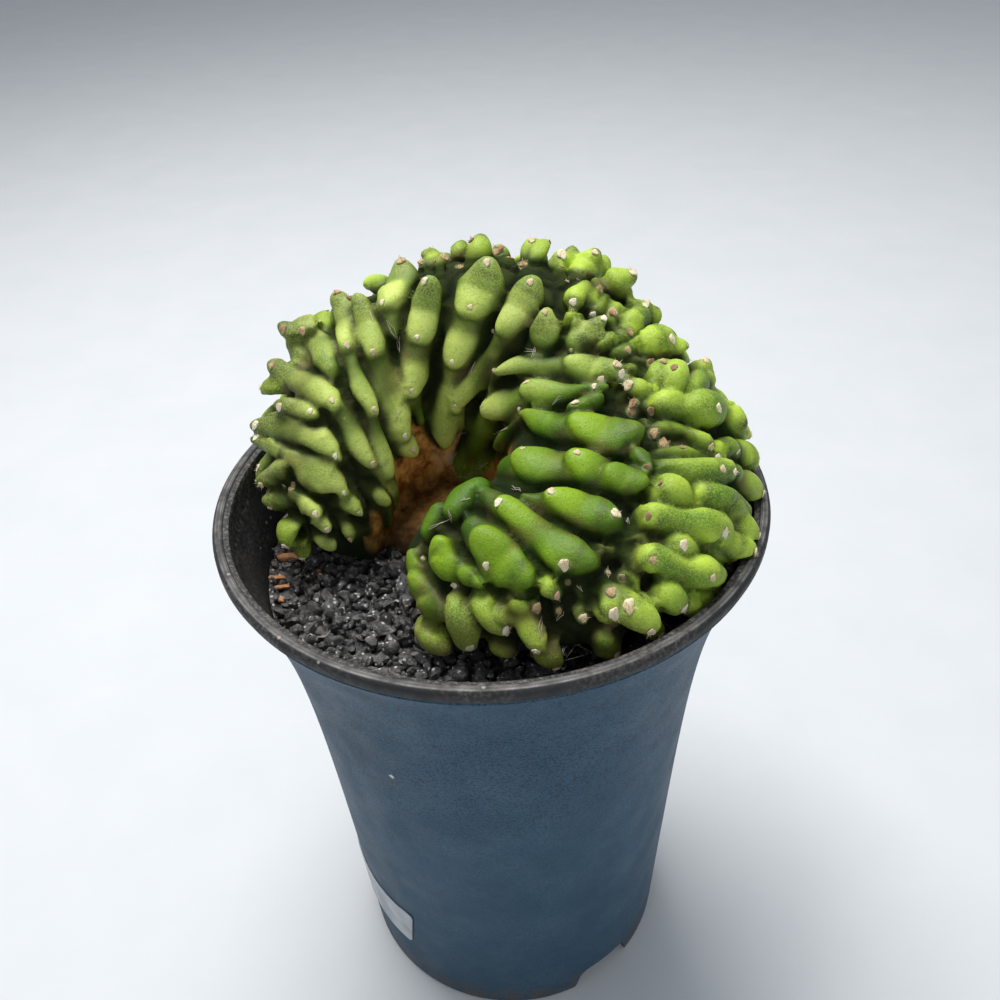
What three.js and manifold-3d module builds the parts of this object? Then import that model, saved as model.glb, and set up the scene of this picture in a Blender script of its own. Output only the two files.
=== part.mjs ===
import * as THREE from "three";
import { mergeVertices } from "three/addons/utils/BufferGeometryUtils.js";
import Module from "manifold-3d";

const wasm = await Module();
wasm.setup();

// Driving dimensions, in millimetres and degrees. The pot stands on z = 0 with its axis on Z.
// Azimuth 0 points along +X, and -90 points at the viewer.

const POT = {
  height: 134.3,
  lipRadius: 55,
  lipBand: 2.5,
  lipWidth: 3.2,
  baseRadius: 38.4,
  wallSlope: 0.052,
  flare: 11.3,
  flareDepth: 17.5,
  wall: 1.2,
  floorBottom: 7.6,
  floorTop: 9.2,
  footWidth: 2.2,
  sides: 40,
};

const NOTCH = { count: 3, firstAzimuth: -55.5, width: 19, topWidth: 11, height: 7, depth: 12 };
const DRAIN = { count: 4, ringRadius: 20, radius: 4, sides: 10 };
const LABEL = { fromAzimuth: -186, toAzimuth: -127, lean: 4, bottom: 16, top: 31, thickness: 0.5, steps: 14 };
const SOIL = {
  depth: 13.2,
  slope: 0.075,
  grainSpacing: 5.4,
  grainRadius: 2.8,
  grainRise: 0.2,
  grainClearance: 1.15,
  grainsUnderCrest: 6,
};
const NECK = { x: -4, y: 12, stemRadius: 12, footRadius: 14, topRadius: 6.5, top: 4, sunk: 16, sides: 20 };

// Gap that neighbouring pieces keep
const GAP = 0.3;

// The crest is a tube curled round a hollow. Each row is a section of the tube, seen along the curl:
// azimuth from the hollow, radius of the tube's centre, height of the centre above the lip,
// half width towards the hollow and away from it, half height above and below,
// and the section angle of the growing edge, from 0 at the hollow over 90 on top to 180 outside.
const HOLLOW = { x: -7, y: 2 };
const SECTIONS = [
  [-125, 15, -8, 4, 5, 5, 5, 175],
  [-110, 18, -6, 10, 11, 11, 8, 172],
  [-90, 22, -4, 15, 16, 17, 10, 160],
  [-60, 26, -3, 19, 27, 19, 11, 138],
  [-30, 28, 0, 21, 30, 20, 14, 115],
  [0, 30, 3, 22, 28, 22, 16, 102],
  [30, 30, 7, 21, 22, 27, 20, 96],
  [60, 27, 8, 17, 20, 30, 22, 96],
  [90, 25, 8, 15, 18, 29, 22, 98],
  [120, 25, 7, 15, 17, 26, 20, 100],
  [150, 25, 4, 15, 16, 22, 20, 115],
  [175, 24, 1, 14, 15, 18, 17.5, 135],
  [195, 22, -4, 10, 12, 12, 12, 150],
  [205, 20, -7, 4, 5, 5, 9, 160],
];

// Ribs that run from the growing edge down to the hollow, from the left end of the crest round its back
// to the front end: azimuth at the edge, azimuth at the inner end, section angle of the inner end,
// and the section angles of the tubercle tips.
const INNER_RIBS = [
  [187, 202, 50, [139, 99, 72]],
  [196, 207, 55, [160, 128, 92]],
  [184, 197, 40, [130, 91, 62]],
  [175, 190, 30, [128, 97, 70, 45]],
  [166, 190, 15, [118, 84, 54, 30]],
  [157, 172, 20, [114, 98, 62, 34]],
  [141, 165, -10, [105, 79, 50, 15]],
  [130, 142, 5, [108, 61, 28]],
  [112, 127, 20, [106, 76, 46]],
  [98, 132, 0, [72, 45, 24]],
  [68, 94, -5, [78, 50, 26]],
  [44, 100, -15, [74, 42, 6]],
  [29, 18, 35, [69, 46]],
  [14, 24, 30, [92, 62, 38]],
  [0, 58, -5, [94, 74, 29, 5]],
  [-8, 66, -20, [90, 50, 10]],
  [-12, -6, 40, [86, 62]],
  [-19, 4, 0, [104, 76, 43, 15]],
  [-35, -50, 20, [117, 96, 67, 40]],
  [-47, -72, 30, [124, 102, 78, 50]],
  [-59, -84, 35, [135, 102, 76, 52]],
  [-74, -101, 40, [137, 112, 84, 60]],
  [-88, -106, 50, [150, 130, 104, 78]],
  [-100, -112, 60, [168, 140, 110, 82]],
];

// Ribs outside the growing edge, from the back of the crest round its right to the front:
// azimuth at the edge, azimuth at the soil, and the section angles of the tubercle tips.
const OUTER_RIBS = [
  [202, 205, [176, 198]],
  [192, 195, [160, 182, 204]],
  [181, 182, [150, 174, 198]],
  [170, 169, [139, 160, 184, 206]],
  [159, 157, [131, 152, 175, 200]],
  [148, 146, [124, 146, 170, 196]],
  [137, 134, [118, 140, 164, 190]],
  [126, 123, [113, 136, 161, 186]],
  [115, 112, [110, 133, 157, 182, 206]],
  [104, 102, [109, 132, 155, 178, 202]],
  [94, 92, [108, 130, 152, 175, 198]],
  [84, 83, [107, 128, 150, 172, 196]],
  [74, 74, [105, 126, 148, 170, 194]],
  [64, 65, [104, 124, 146, 168, 192]],
  [54, 56, [103, 122, 144, 166, 190]],
  [44, 48, [102, 121, 142, 164, 188]],
  [34, 40, [101, 120, 141, 163, 187]],
  [25, 32, [101, 120, 140, 163, 187]],
  [16, 24, [102, 122, 146, 170, 194]],
  [7, 15, [104, 126, 150, 176]],
  [-2, 10, [106, 119, 146, 172]],
  [-10, 4, [107, 124, 143, 166, 190]],
  [-18, -1, [108, 138, 161, 184]],
  [-26, -12, [114, 134, 151, 176]],
  [-33, -21, [120, 144, 168, 190]],
  [-40, -28, [126, 150, 174]],
  [-47, -34, [131, 160, 180]],
  [-54, -40, [145, 172, 192]],
  [-62, -49, [149, 176, 196]],
  [-70, -58, [154, 178, 198]],
  [-79, -68, [160, 184, 204]],
  [-88, -80, [172, 194]],
  [-98, -92, [184, 202]],
];

// Cross sections of a tubercle along its rib: place between the last tip and this one,
// half width as a share of the rib's, and lift above the crest's surface in millimetres.
const INNER_TUBERCLE = {
  sections: [[0.15, 0.74, -1.7], [0.7, 1, 0], [1, 0.62, -0.2]],
  halfWidth: 3.7,
  sides: 5,
};
const OUTER_TUBERCLE = {
  sections: [[0.1, 0.66, -1.8], [0.84, 1, 0]],
  halfWidth: 3.4,
  sides: 5,
  firstSize: 0.66,
  sizePerDegree: 0.009,
  lift: 1.2,
};
const RIB_THICKNESS = 3.3;
const CORE = { depth: 3.1, steps: 32, sectionSides: 13 };

const FULL_TURN = 360;
const radians = THREE.MathUtils.degToRad;
const lerp = THREE.MathUtils.lerp;
const clamp = THREE.MathUtils.clamp;

// Small seeded generator, so that the gravel comes out the same each time
function makeRandom(seed) {
  let state = seed;
  return () => {
    state = (state * 1103515245 + 12345) % 2147483648;
    return state / 2147483648;
  };
}

// Solids and meshes

function indexedGeometry(points, triangles) {
  const geometry = new THREE.BufferGeometry();
  geometry.setAttribute("position", new THREE.Float32BufferAttribute(points.flat(), 3));
  geometry.setIndex(triangles.flat());
  return geometry;
}

function signedVolume(positions, triangles) {
  const a = new THREE.Vector3();
  const b = new THREE.Vector3();
  const c = new THREE.Vector3();
  let volume = 0;
  for (let i = 0; i < triangles.length; i += 3) {
    a.fromArray(positions, triangles[i] * 3);
    b.fromArray(positions, triangles[i + 1] * 3);
    c.fromArray(positions, triangles[i + 2] * 3);
    volume += a.dot(b.cross(c)) / 6;
  }
  return volume;
}

function toSolid(geometry) {
  const bare = geometry.clone();
  for (const name of Object.keys(bare.attributes)) {
    if (name !== "position") bare.deleteAttribute(name);
  }
  const merged = mergeVertices(bare, 1e-4);
  const positions = merged.attributes.position.array;
  const index = Array.from(merged.index.array);
  const triangles = [];
  for (let i = 0; i < index.length; i += 3) {
    const [a, b, c] = index.slice(i, i + 3);
    if (a !== b && b !== c && c !== a) triangles.push(a, b, c);
  }
  if (signedVolume(positions, triangles) < 0) triangles.reverse();
  const mesh = new wasm.Mesh({
    numProp: 3,
    vertProperties: new Float32Array(positions),
    triVerts: new Uint32Array(triangles),
  });
  return new wasm.Manifold(mesh);
}

function union(solids) {
  let layer = solids;
  while (layer.length > 1) {
    const next = [];
    for (let i = 0; i < layer.length; i += 2) {
      next.push(i + 1 < layer.length ? layer[i].add(layer[i + 1]) : layer[i]);
    }
    layer = next;
  }
  return layer[0];
}

// The largest connected shell of a solid: a hollow sealed by the joins is filled, a scrap is dropped
function mainShell(solid) {
  const mesh = solid.getMesh();
  const positions = mesh.vertProperties;
  const triangles = mesh.triVerts;
  const parent = Array.from({ length: positions.length / 3 }, (_, i) => i);
  const find = (i) => {
    let root = i;
    while (parent[root] !== root) {
      parent[root] = parent[parent[root]];
      root = parent[root];
    }
    return root;
  };
  for (let i = 0; i < triangles.length; i += 3) {
    parent[find(triangles[i + 1])] = find(triangles[i]);
    parent[find(triangles[i + 2])] = find(triangles[i]);
  }
  const shells = new Map();
  for (let i = 0; i < triangles.length; i += 3) {
    const root = find(triangles[i]);
    if (!shells.has(root)) shells.set(root, []);
    shells.get(root).push(triangles[i], triangles[i + 1], triangles[i + 2]);
  }
  let best = null;
  let bestVolume = 0;
  for (const shell of shells.values()) {
    const volume = signedVolume(positions, shell);
    if (volume > bestVolume) {
      best = shell;
      bestVolume = volume;
    }
  }
  const geometry = new THREE.BufferGeometry();
  geometry.setAttribute("position", new THREE.BufferAttribute(new Float32Array(positions), 3));
  geometry.setIndex(best);
  return mergeVertices(geometry.toNonIndexed(), 1e-6);
}

function namedMesh(name, geometry, material) {
  geometry.computeVertexNormals();
  const mesh = new THREE.Mesh(geometry, new THREE.MeshStandardMaterial(material));
  mesh.name = name;
  return mesh;
}

// Stands a lathe's axis on Z
function lathe(profile, segments) {
  const points = profile.map(([radius, z]) => new THREE.Vector2(radius, z));
  return new THREE.LatheGeometry(points, segments).rotateX(Math.PI / 2);
}

// Pot

function wallRadius(z) {
  const depth = POT.height - z;
  return POT.baseRadius + POT.wallSlope * z + POT.flare * Math.exp(-depth / POT.flareDepth);
}

function innerRadius(z) {
  return Math.min(wallRadius(z) - POT.wall, POT.lipRadius - POT.lipWidth + 0.2);
}

// Heights at which the wall has an edge, closer together where it flares
function wallHeights(bottom, top) {
  const depths = [100, 72, 50, 36, 25, 16.5, 10.5, 6.5];
  return depths.map((depth) => POT.height - depth).filter((z) => z > bottom && z < top);
}

function potProfile() {
  const { height, lipRadius, lipBand, lipWidth, baseRadius, wall, footWidth, floorBottom, floorTop } = POT;
  const lipBottom = height - lipBand;
  const outside = [[baseRadius, 0], ...wallHeights(0, lipBottom - 2).map((z) => [wallRadius(z), z])];
  const lip = [
    [wallRadius(lipBottom - 1), lipBottom - 1],
    [lipRadius, lipBottom],
    [lipRadius, height - 0.7],
    [lipRadius - 0.7, height],
    [lipRadius - 1.7, height],
    [lipRadius - 2.1, height - 0.5],
    [lipRadius - lipWidth, height - 0.6],
    [lipRadius - lipWidth, height - 2.4],
  ];
  const inside = wallHeights(floorTop + 4, height - 6).reverse().map((z) => [wallRadius(z) - wall, z]);
  return [
    [0, floorBottom],
    [baseRadius - footWidth, floorBottom],
    [baseRadius - footWidth, 0],
    ...outside,
    ...lip,
    ...inside,
    [wallRadius(floorTop) - wall, floorTop],
    [0, floorTop],
  ];
}

function notchCutter(azimuth) {
  const { width, topWidth, height, depth } = NOTCH;
  const shape = new THREE.Shape();
  shape.moveTo(-width / 2 - 0.6, -1);
  shape.lineTo(width / 2 + 0.6, -1);
  shape.lineTo(topWidth / 2 + 1.2, height * 0.72);
  shape.quadraticCurveTo(topWidth / 2, height, topWidth / 2 - 2, height);
  shape.lineTo(2 - topWidth / 2, height);
  shape.quadraticCurveTo(-topWidth / 2, height, -topWidth / 2 - 1.2, height * 0.72);
  const geometry = new THREE.ExtrudeGeometry(shape, { depth, bevelEnabled: false, curveSegments: 3 });
  geometry.rotateX(Math.PI / 2);
  geometry.translate(0, -POT.baseRadius + depth - 4, 0);
  geometry.rotateZ(radians(azimuth + 90));
  return toSolid(geometry);
}

function drainCutter(azimuth) {
  const { ringRadius, radius, sides } = DRAIN;
  const geometry = new THREE.CylinderGeometry(radius, radius, POT.floorTop, sides);
  geometry.rotateX(Math.PI / 2);
  geometry.translate(ringRadius * Math.cos(radians(azimuth)), ringRadius * Math.sin(radians(azimuth)), POT.floorBottom);
  return toSolid(geometry);
}

function makePot() {
  let solid = toSolid(lathe(potProfile(), POT.sides));
  for (let i = 0; i < NOTCH.count; i += 1) {
    solid = solid.subtract(notchCutter(NOTCH.firstAzimuth + (i * FULL_TURN) / NOTCH.count));
  }
  for (let i = 0; i < DRAIN.count; i += 1) {
    solid = solid.subtract(drainCutter((i * FULL_TURN) / DRAIN.count));
  }
  return solid;
}

// Sticker bent round the wall, its front edge leaning as the real one does
function makeLabel() {
  const { fromAzimuth, toAzimuth, lean, bottom, top, thickness, steps } = LABEL;
  const points = [];
  for (let i = 0; i <= steps; i += 1) {
    for (const [z, skin] of [[bottom, 0], [top, 0], [top, thickness], [bottom, thickness]]) {
      const edge = toAzimuth - (z === bottom ? lean : 0);
      const azimuth = radians(lerp(fromAzimuth, edge, i / steps));
      const radius = wallRadius(z) + GAP + skin;
      points.push([radius * Math.cos(azimuth), radius * Math.sin(azimuth), z]);
    }
  }
  return toSolid(indexedGeometry(points, tubeTriangles(steps + 1, 4)));
}

// Triangles of a closed tube: rings of points in order, with flat ends
function tubeTriangles(rings, sides) {
  const triangles = [];
  for (let ring = 0; ring + 1 < rings; ring += 1) {
    for (let side = 0; side < sides; side += 1) {
      const a = ring * sides + side;
      const b = ring * sides + ((side + 1) % sides);
      triangles.push([a, b, a + sides], [b, b + sides, a + sides]);
    }
  }
  for (let side = 1; side + 1 < sides; side += 1) {
    const last = (rings - 1) * sides;
    triangles.push([0, side + 1, side], [last, last + side, last + side + 1]);
  }
  return triangles;
}

// Crest

// A smooth curve through the section table, for one of its columns
function sectionValue(azimuth, column) {
  const rows = SECTIONS;
  const at = clamp(azimuth, rows[0][0], rows[rows.length - 1][0]);
  let i = 0;
  while (i + 2 < rows.length && rows[i + 1][0] < at) i += 1;
  const slope = (k) => {
    const before = rows[Math.max(k - 1, 0)];
    const after = rows[Math.min(k + 1, rows.length - 1)];
    return (after[column] - before[column]) / (after[0] - before[0]);
  };
  const span = rows[i + 1][0] - rows[i][0];
  const t = (at - rows[i][0]) / span;
  const s = 1 - t;
  return (
    rows[i][column] * (1 + 2 * t) * s * s +
    rows[i + 1][column] * t * t * (3 - 2 * t) +
    slope(i) * span * t * s * s -
    slope(i + 1) * span * t * t * s
  );
}

function sectionAt(azimuth) {
  const [ring, centre, inward, outward, above, below, edge] = [1, 2, 3, 4, 5, 6, 7].map((column) =>
    sectionValue(azimuth, column),
  );
  return { ring, centre, inward, outward, above, below, edge };
}

// Point of the crest at an azimuth and a section angle, sunk below the surface by depth
function crestPoint(azimuth, angle, depth = 0) {
  const section = sectionAt(azimuth);
  const along = Math.cos(radians(angle));
  const up = Math.sin(radians(angle));
  const halfWidth = Math.max((along > 0 ? section.inward : section.outward) - depth, 1);
  const halfHeight = Math.max((up > 0 ? section.above : section.below) - depth, 1);
  const radius = section.ring - halfWidth * along;
  return new THREE.Vector3(
    HOLLOW.x + radius * Math.cos(radians(azimuth)),
    HOLLOW.y + radius * Math.sin(radians(azimuth)),
    POT.height + section.centre + halfHeight * up,
  );
}

function crestNormal(azimuth, angle) {
  const step = 0.5;
  const round = crestPoint(azimuth + step, angle).sub(crestPoint(azimuth - step, angle));
  const over = crestPoint(azimuth, angle + step).sub(crestPoint(azimuth, angle - step));
  return over.cross(round).normalize();
}

function makeCore() {
  const first = SECTIONS[0][0];
  const last = SECTIONS[SECTIONS.length - 1][0];
  const points = [];
  for (let i = 0; i <= CORE.steps; i += 1) {
    const azimuth = lerp(first, last, i / CORE.steps);
    for (let side = 0; side < CORE.sectionSides; side += 1) {
      const angle = (side * FULL_TURN) / CORE.sectionSides;
      points.push(crestPoint(azimuth, angle, CORE.depth).toArray());
    }
  }
  return toSolid(indexedGeometry(points, tubeTriangles(CORE.steps + 1, CORE.sectionSides)));
}

// One swept rib. at(s) gives the azimuth and section angle at a place s along it, and tubercles lists
// where each one starts and ends, its size and its lift.
function makeRib(at, tubercles, { sections, halfWidth, sides }) {
  const points = [];
  for (const { from, to, size, lift } of tubercles) {
    for (const [share, width, rise] of sections) {
      const s = lerp(from, to, share);
      const here = crestPoint(...at(s));
      const up = crestNormal(...at(s));
      const along = crestPoint(...at(s + 0.01)).sub(here);
      const across = new THREE.Vector3().crossVectors(along, up).setLength(halfWidth * width * size);
      const centre = here.addScaledVector(up, (rise + lift) * size - RIB_THICKNESS);
      up.multiplyScalar(RIB_THICKNESS);
      for (let side = 0; side < sides; side += 1) {
        const turn = radians(90 + (side * FULL_TURN) / sides);
        const point = centre.clone().addScaledVector(across, Math.cos(turn)).addScaledVector(up, Math.sin(turn));
        points.push(point.toArray());
      }
    }
  }
  const rings = tubercles.length * sections.length;
  return toSolid(indexedGeometry(points, tubeTriangles(rings, sides)));
}

function innerRib([edgeAzimuth, endAzimuth, endAngle, tips]) {
  const length = Math.max(sectionAt(edgeAzimuth).edge, tips[0] + 4) - endAngle;
  const at = (s) => [lerp(edgeAzimuth, endAzimuth, s), endAngle + length * (1 - s)];
  const place = (angle) => 1 - (angle - endAngle) / length;
  const ends = [...tips, endAngle].map(place);
  const starts = [place(tips[0] + 26), ...ends];
  const tubercles = ends.map((to, i) => ({ from: starts[i], to, size: 1, lift: i < tips.length ? 0 : -0.8 }));
  return makeRib(at, tubercles, INNER_TUBERCLE);
}

function outerRib([edgeAzimuth, endAzimuth, tips]) {
  const edge = sectionAt(edgeAzimuth).edge;
  const start = edge - 6;
  const last = tips[tips.length - 1];
  const at = (s) => [lerp(edgeAzimuth, endAzimuth, s), lerp(start, last, s)];
  const ends = tips.map((angle) => (angle - start) / (last - start));
  const starts = [0, ...ends];
  const { firstSize, sizePerDegree, lift } = OUTER_TUBERCLE;
  const sizes = tips.map((angle) => Math.min(firstSize + sizePerDegree * (angle - edge), 1));
  const tubercles = ends.map((to, i) => ({ from: starts[i], to, size: sizes[i], lift }));
  return makeRib(at, tubercles, OUTER_TUBERCLE);
}

// Height of the gravel's level surface, which rises a little to the right
function soilHeight(x) {
  return POT.height - SOIL.depth + SOIL.slope * x;
}

// Leans a flat-topped solid's upper points to the gravel's level
function leanTop(geometry, threshold, offset) {
  const position = geometry.attributes.position;
  for (let i = 0; i < position.count; i += 1) {
    if (position.getZ(i) > threshold) position.setZ(i, soilHeight(position.getX(i)) + offset);
  }
  return geometry;
}

// Spreads the upper rim of the fill to the wall at its own height
function spreadTop(geometry, threshold) {
  const position = geometry.attributes.position;
  for (let i = 0; i < position.count; i += 1) {
    const [x, y, z] = [position.getX(i), position.getY(i), position.getZ(i)];
    const scale = (wallRadius(z) - POT.wall - GAP) / Math.hypot(x, y);
    if (z > threshold && Math.hypot(x, y) > 1) position.setXYZ(i, x * scale, y * scale, z);
  }
  return geometry;
}

// The ground that the crest's underside keeps clear of
function groundCutter() {
  const size = 2 * POT.lipRadius + 20;
  const geometry = new THREE.BoxGeometry(size, size, 60, 1, 1, 1);
  geometry.translate(0, 0, POT.height - 60);
  return toSolid(leanTop(geometry, POT.height - 60, GAP));
}

// The room inside and above the pot that the plant may fill
function clearRoom() {
  const top = POT.height + 70;
  const heights = [POT.height - 20, POT.height - 14, POT.height - 9, POT.height - 5, POT.height + 0.6];
  const wide = POT.lipRadius + 6;
  const profile = [[0, heights[0]], ...heights.map((z) => [innerRadius(z) - 0.5, z])];
  profile.push([wide, POT.height + 0.7], [wide, top], [0, top]);
  return toSolid(lathe(profile, POT.sides));
}

// The crest's corky foot in the hollow, down to the ground
function makeFoot() {
  const bottom = soilHeight(NECK.x) - SOIL.depth / 2;
  const top = POT.height + NECK.top;
  const { footRadius, topRadius } = NECK;
  const waist = [lerp(footRadius, topRadius, 0.2), lerp(bottom, top, 0.6)];
  const profile = [[0, bottom], [footRadius, bottom], waist, [topRadius, top], [0, top]];
  return toSolid(lathe(profile, NECK.sides).translate(NECK.x, NECK.y, 0));
}

// A round stem from below the gravel's level, for the plant and, a little wider, for its hole
function makeStem(radius, sunk, height) {
  const level = soilHeight(NECK.x);
  const profile = [[0, level - sunk], [radius, level - sunk], [radius, level + height], [0, level + height]];
  return toSolid(lathe(profile, NECK.sides).translate(NECK.x, NECK.y, 0));
}

function cactusSolid() {
  const parts = [makeCore(), makeFoot(), ...INNER_RIBS.map(innerRib), ...OUTER_RIBS.map(outerRib)];
  const crest = union(parts).subtract(groundCutter()).intersect(clearRoom());
  return crest.add(makeStem(NECK.stemRadius, NECK.sunk, 5));
}

// Soil

function grainSolid(x, y, shape, swell = 1) {
  const geometry = new THREE.IcosahedronGeometry(SOIL.grainRadius * swell, 0);
  geometry.scale(shape.long, shape.wide, shape.high);
  geometry.rotateZ(shape.turn);
  geometry.translate(x, y, soilHeight(x) + SOIL.grainRise);
  return toSolid(geometry);
}

// Whether a place lies under the crest, further in than its edge by more than margin
function underCrest(x, y, margin) {
  const azimuth = THREE.MathUtils.radToDeg(Math.atan2(y - HOLLOW.y, x - HOLLOW.x));
  const wrapped = azimuth < SECTIONS[0][0] ? azimuth + FULL_TURN : azimuth;
  if (wrapped > SECTIONS[SECTIONS.length - 1][0]) return false;
  const { ring, outward } = sectionAt(wrapped);
  return Math.hypot(x - HOLLOW.x, y - HOLLOW.y) < ring + outward - margin;
}

// Gravel grains on a jittered grid, wherever they show and clear the wall and the plant
function makeGrains(plant) {
  const { grainSpacing, grainRadius, grainClearance, grainsUnderCrest } = SOIL;
  const random = makeRandom(7);
  const half = Math.ceil(POT.lipRadius / grainSpacing);
  const grains = [];
  for (let row = -half; row <= half; row += 1) {
    for (let column = -half; column <= half; column += 1) {
      const x = (column + (row % 2) / 2 + 0.4 * (random() - 0.5)) * grainSpacing;
      const y = (row * 0.87 + 0.4 * (random() - 0.5)) * grainSpacing;
      const [long, wide, high] = [0.8 + 0.2 * random(), 0.8 + 0.2 * random(), 0.55 + 0.15 * random()];
      const shape = { long, wide, high, turn: Math.PI * random() };
      const inPot = Math.hypot(x, y) < innerRadius(soilHeight(x)) - GAP - grainRadius;
      if (!inPot || underCrest(x, y, grainsUnderCrest)) continue;
      const overlap = grainSolid(x, y, shape, grainClearance).intersect(plant);
      if (overlap.getMesh().triVerts.length === 0) grains.push(grainSolid(x, y, shape));
    }
  }
  return union(grains);
}

function makeSoil(plant) {
  const level = POT.height - SOIL.depth;
  const bottom = POT.floorTop + GAP;
  const wallPoints = wallHeights(bottom + 3, level - 3).map((z) => [wallRadius(z) - POT.wall - GAP, z]);
  const profile = [
    [0, bottom],
    [wallRadius(bottom) - POT.wall - GAP, bottom],
    ...wallPoints,
    [POT.baseRadius, level],
    [0, level],
  ];
  const fill = toSolid(spreadTop(leanTop(lathe(profile, POT.sides), level - 1, 0), level - 6));
  const hole = makeStem(NECK.stemRadius + GAP, NECK.sunk + GAP, 5);
  return fill.add(makeGrains(plant)).subtract(hole);
}

const plant = cactusSolid();

const group = new THREE.Group();
group.add(namedMesh("pot", mainShell(makePot()), { color: 0x3c5a73, roughness: 0.6, metalness: 0 }));
group.add(namedMesh("soil", mainShell(makeSoil(plant)), { color: 0x1c1c1e, roughness: 0.55, metalness: 0 }));
group.add(namedMesh("cactus", mainShell(plant), { color: 0x6f9a35, roughness: 0.5, metalness: 0 }));
group.add(namedMesh("label", mainShell(makeLabel()), { color: 0xb9bcbd, roughness: 0.5, metalness: 0 }));

export default group;
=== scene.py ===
import math
import random

import bmesh
import bpy
import numpy as np
from mathutils import Matrix, Vector
from mathutils import noise as field
from mathutils.bvhtree import BVHTree
from mathutils.kdtree import KDTree


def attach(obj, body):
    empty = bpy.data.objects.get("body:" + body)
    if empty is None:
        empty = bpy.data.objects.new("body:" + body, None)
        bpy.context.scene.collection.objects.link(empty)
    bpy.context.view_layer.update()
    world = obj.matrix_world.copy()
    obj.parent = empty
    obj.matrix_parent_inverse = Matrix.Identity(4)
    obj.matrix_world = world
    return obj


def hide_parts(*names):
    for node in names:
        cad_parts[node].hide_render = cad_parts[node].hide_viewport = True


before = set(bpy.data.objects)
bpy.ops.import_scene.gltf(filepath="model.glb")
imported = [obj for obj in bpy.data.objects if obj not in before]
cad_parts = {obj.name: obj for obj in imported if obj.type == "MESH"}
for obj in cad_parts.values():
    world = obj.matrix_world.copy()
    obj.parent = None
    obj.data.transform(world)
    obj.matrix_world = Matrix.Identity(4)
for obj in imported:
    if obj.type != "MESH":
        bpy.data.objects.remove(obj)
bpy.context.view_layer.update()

# Lengths are named in millimetres, and MM turns them into the frame's metres. Angles are in degrees.
# Azimuth 0 points along +X and -90 at the viewer.
MM = 0.001
SEED = 11

POT_HEIGHT = 134.3
LIP_RADIUS = 55.0
BASE_RADIUS = 38.4
WALL_SLOPE = 0.052
FLARE = 11.3
FLARE_DEPTH = 17.5
WALL = 1.2
FLOOR_BOTTOM = 7.6
FLOOR_TOP = 9.2
FOOT_WIDTH = 2.2
NOTCH_AZIMUTHS = (-55.5, 64.5, 184.5)
DRAIN_AZIMUTHS = (0, 90, 180, 270)
DRAIN_RING = 20.0
DRAIN_RADIUS = 4.0
NOTCH_BLOCK = (19, 12, 8)
NOTCH_TOP_SHARE = 0.66
NOTCH_ROUNDING = 2.2
# Radii between which the lip's black is grey from wear, with a painted highlight on its crown, and
# scratched
LIP_CROWN = (52.9, 53.2, 54.2, 54.6)
LIP_LEDGE = (51.0, 51.6, 52.7, 53.0)
# A white nick in the wall's colour, where the speckled skin is scratched through
NICK = Vector((-22.3, -38.6, 93.0))

SOIL_DEPTH = 13.2
SOIL_SLOPE = 0.075

# The crest is a tube curled round a hollow. Each row is a section of the tube, seen along the curl:
# azimuth from the hollow, radius of the tube's centre, height of the centre above the lip,
# half width towards the hollow and away from it, half height above and below,
# and the section angle of the growing edge, from 0 at the hollow over 90 on top to 180 outside.
HOLLOW = (-7.0, 2.0)
SECTIONS = np.array([
    [-125, 15, -8, 4, 5, 5, 5, 175],
    [-110, 18, -6, 10, 11, 11, 8, 172],
    [-90, 22, -4, 15, 16, 17, 10, 160],
    [-60, 26, -3, 19, 27, 19, 11, 138],
    [-30, 28, 0, 21, 30, 20, 14, 115],
    [0, 30, 3, 22, 28, 22, 16, 102],
    [30, 30, 7, 21, 22, 27, 20, 96],
    [60, 27, 8, 17, 20, 30, 22, 96],
    [90, 25, 8, 15, 18, 29, 22, 98],
    [120, 25, 7, 15, 17, 26, 20, 100],
    [150, 25, 4, 15, 16, 22, 20, 115],
    [175, 24, 1, 14, 15, 18, 17.5, 135],
    [195, 22, -4, 10, 12, 12, 12, 150],
    [205, 20, -7, 4, 5, 5, 9, 160],
], float)

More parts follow.
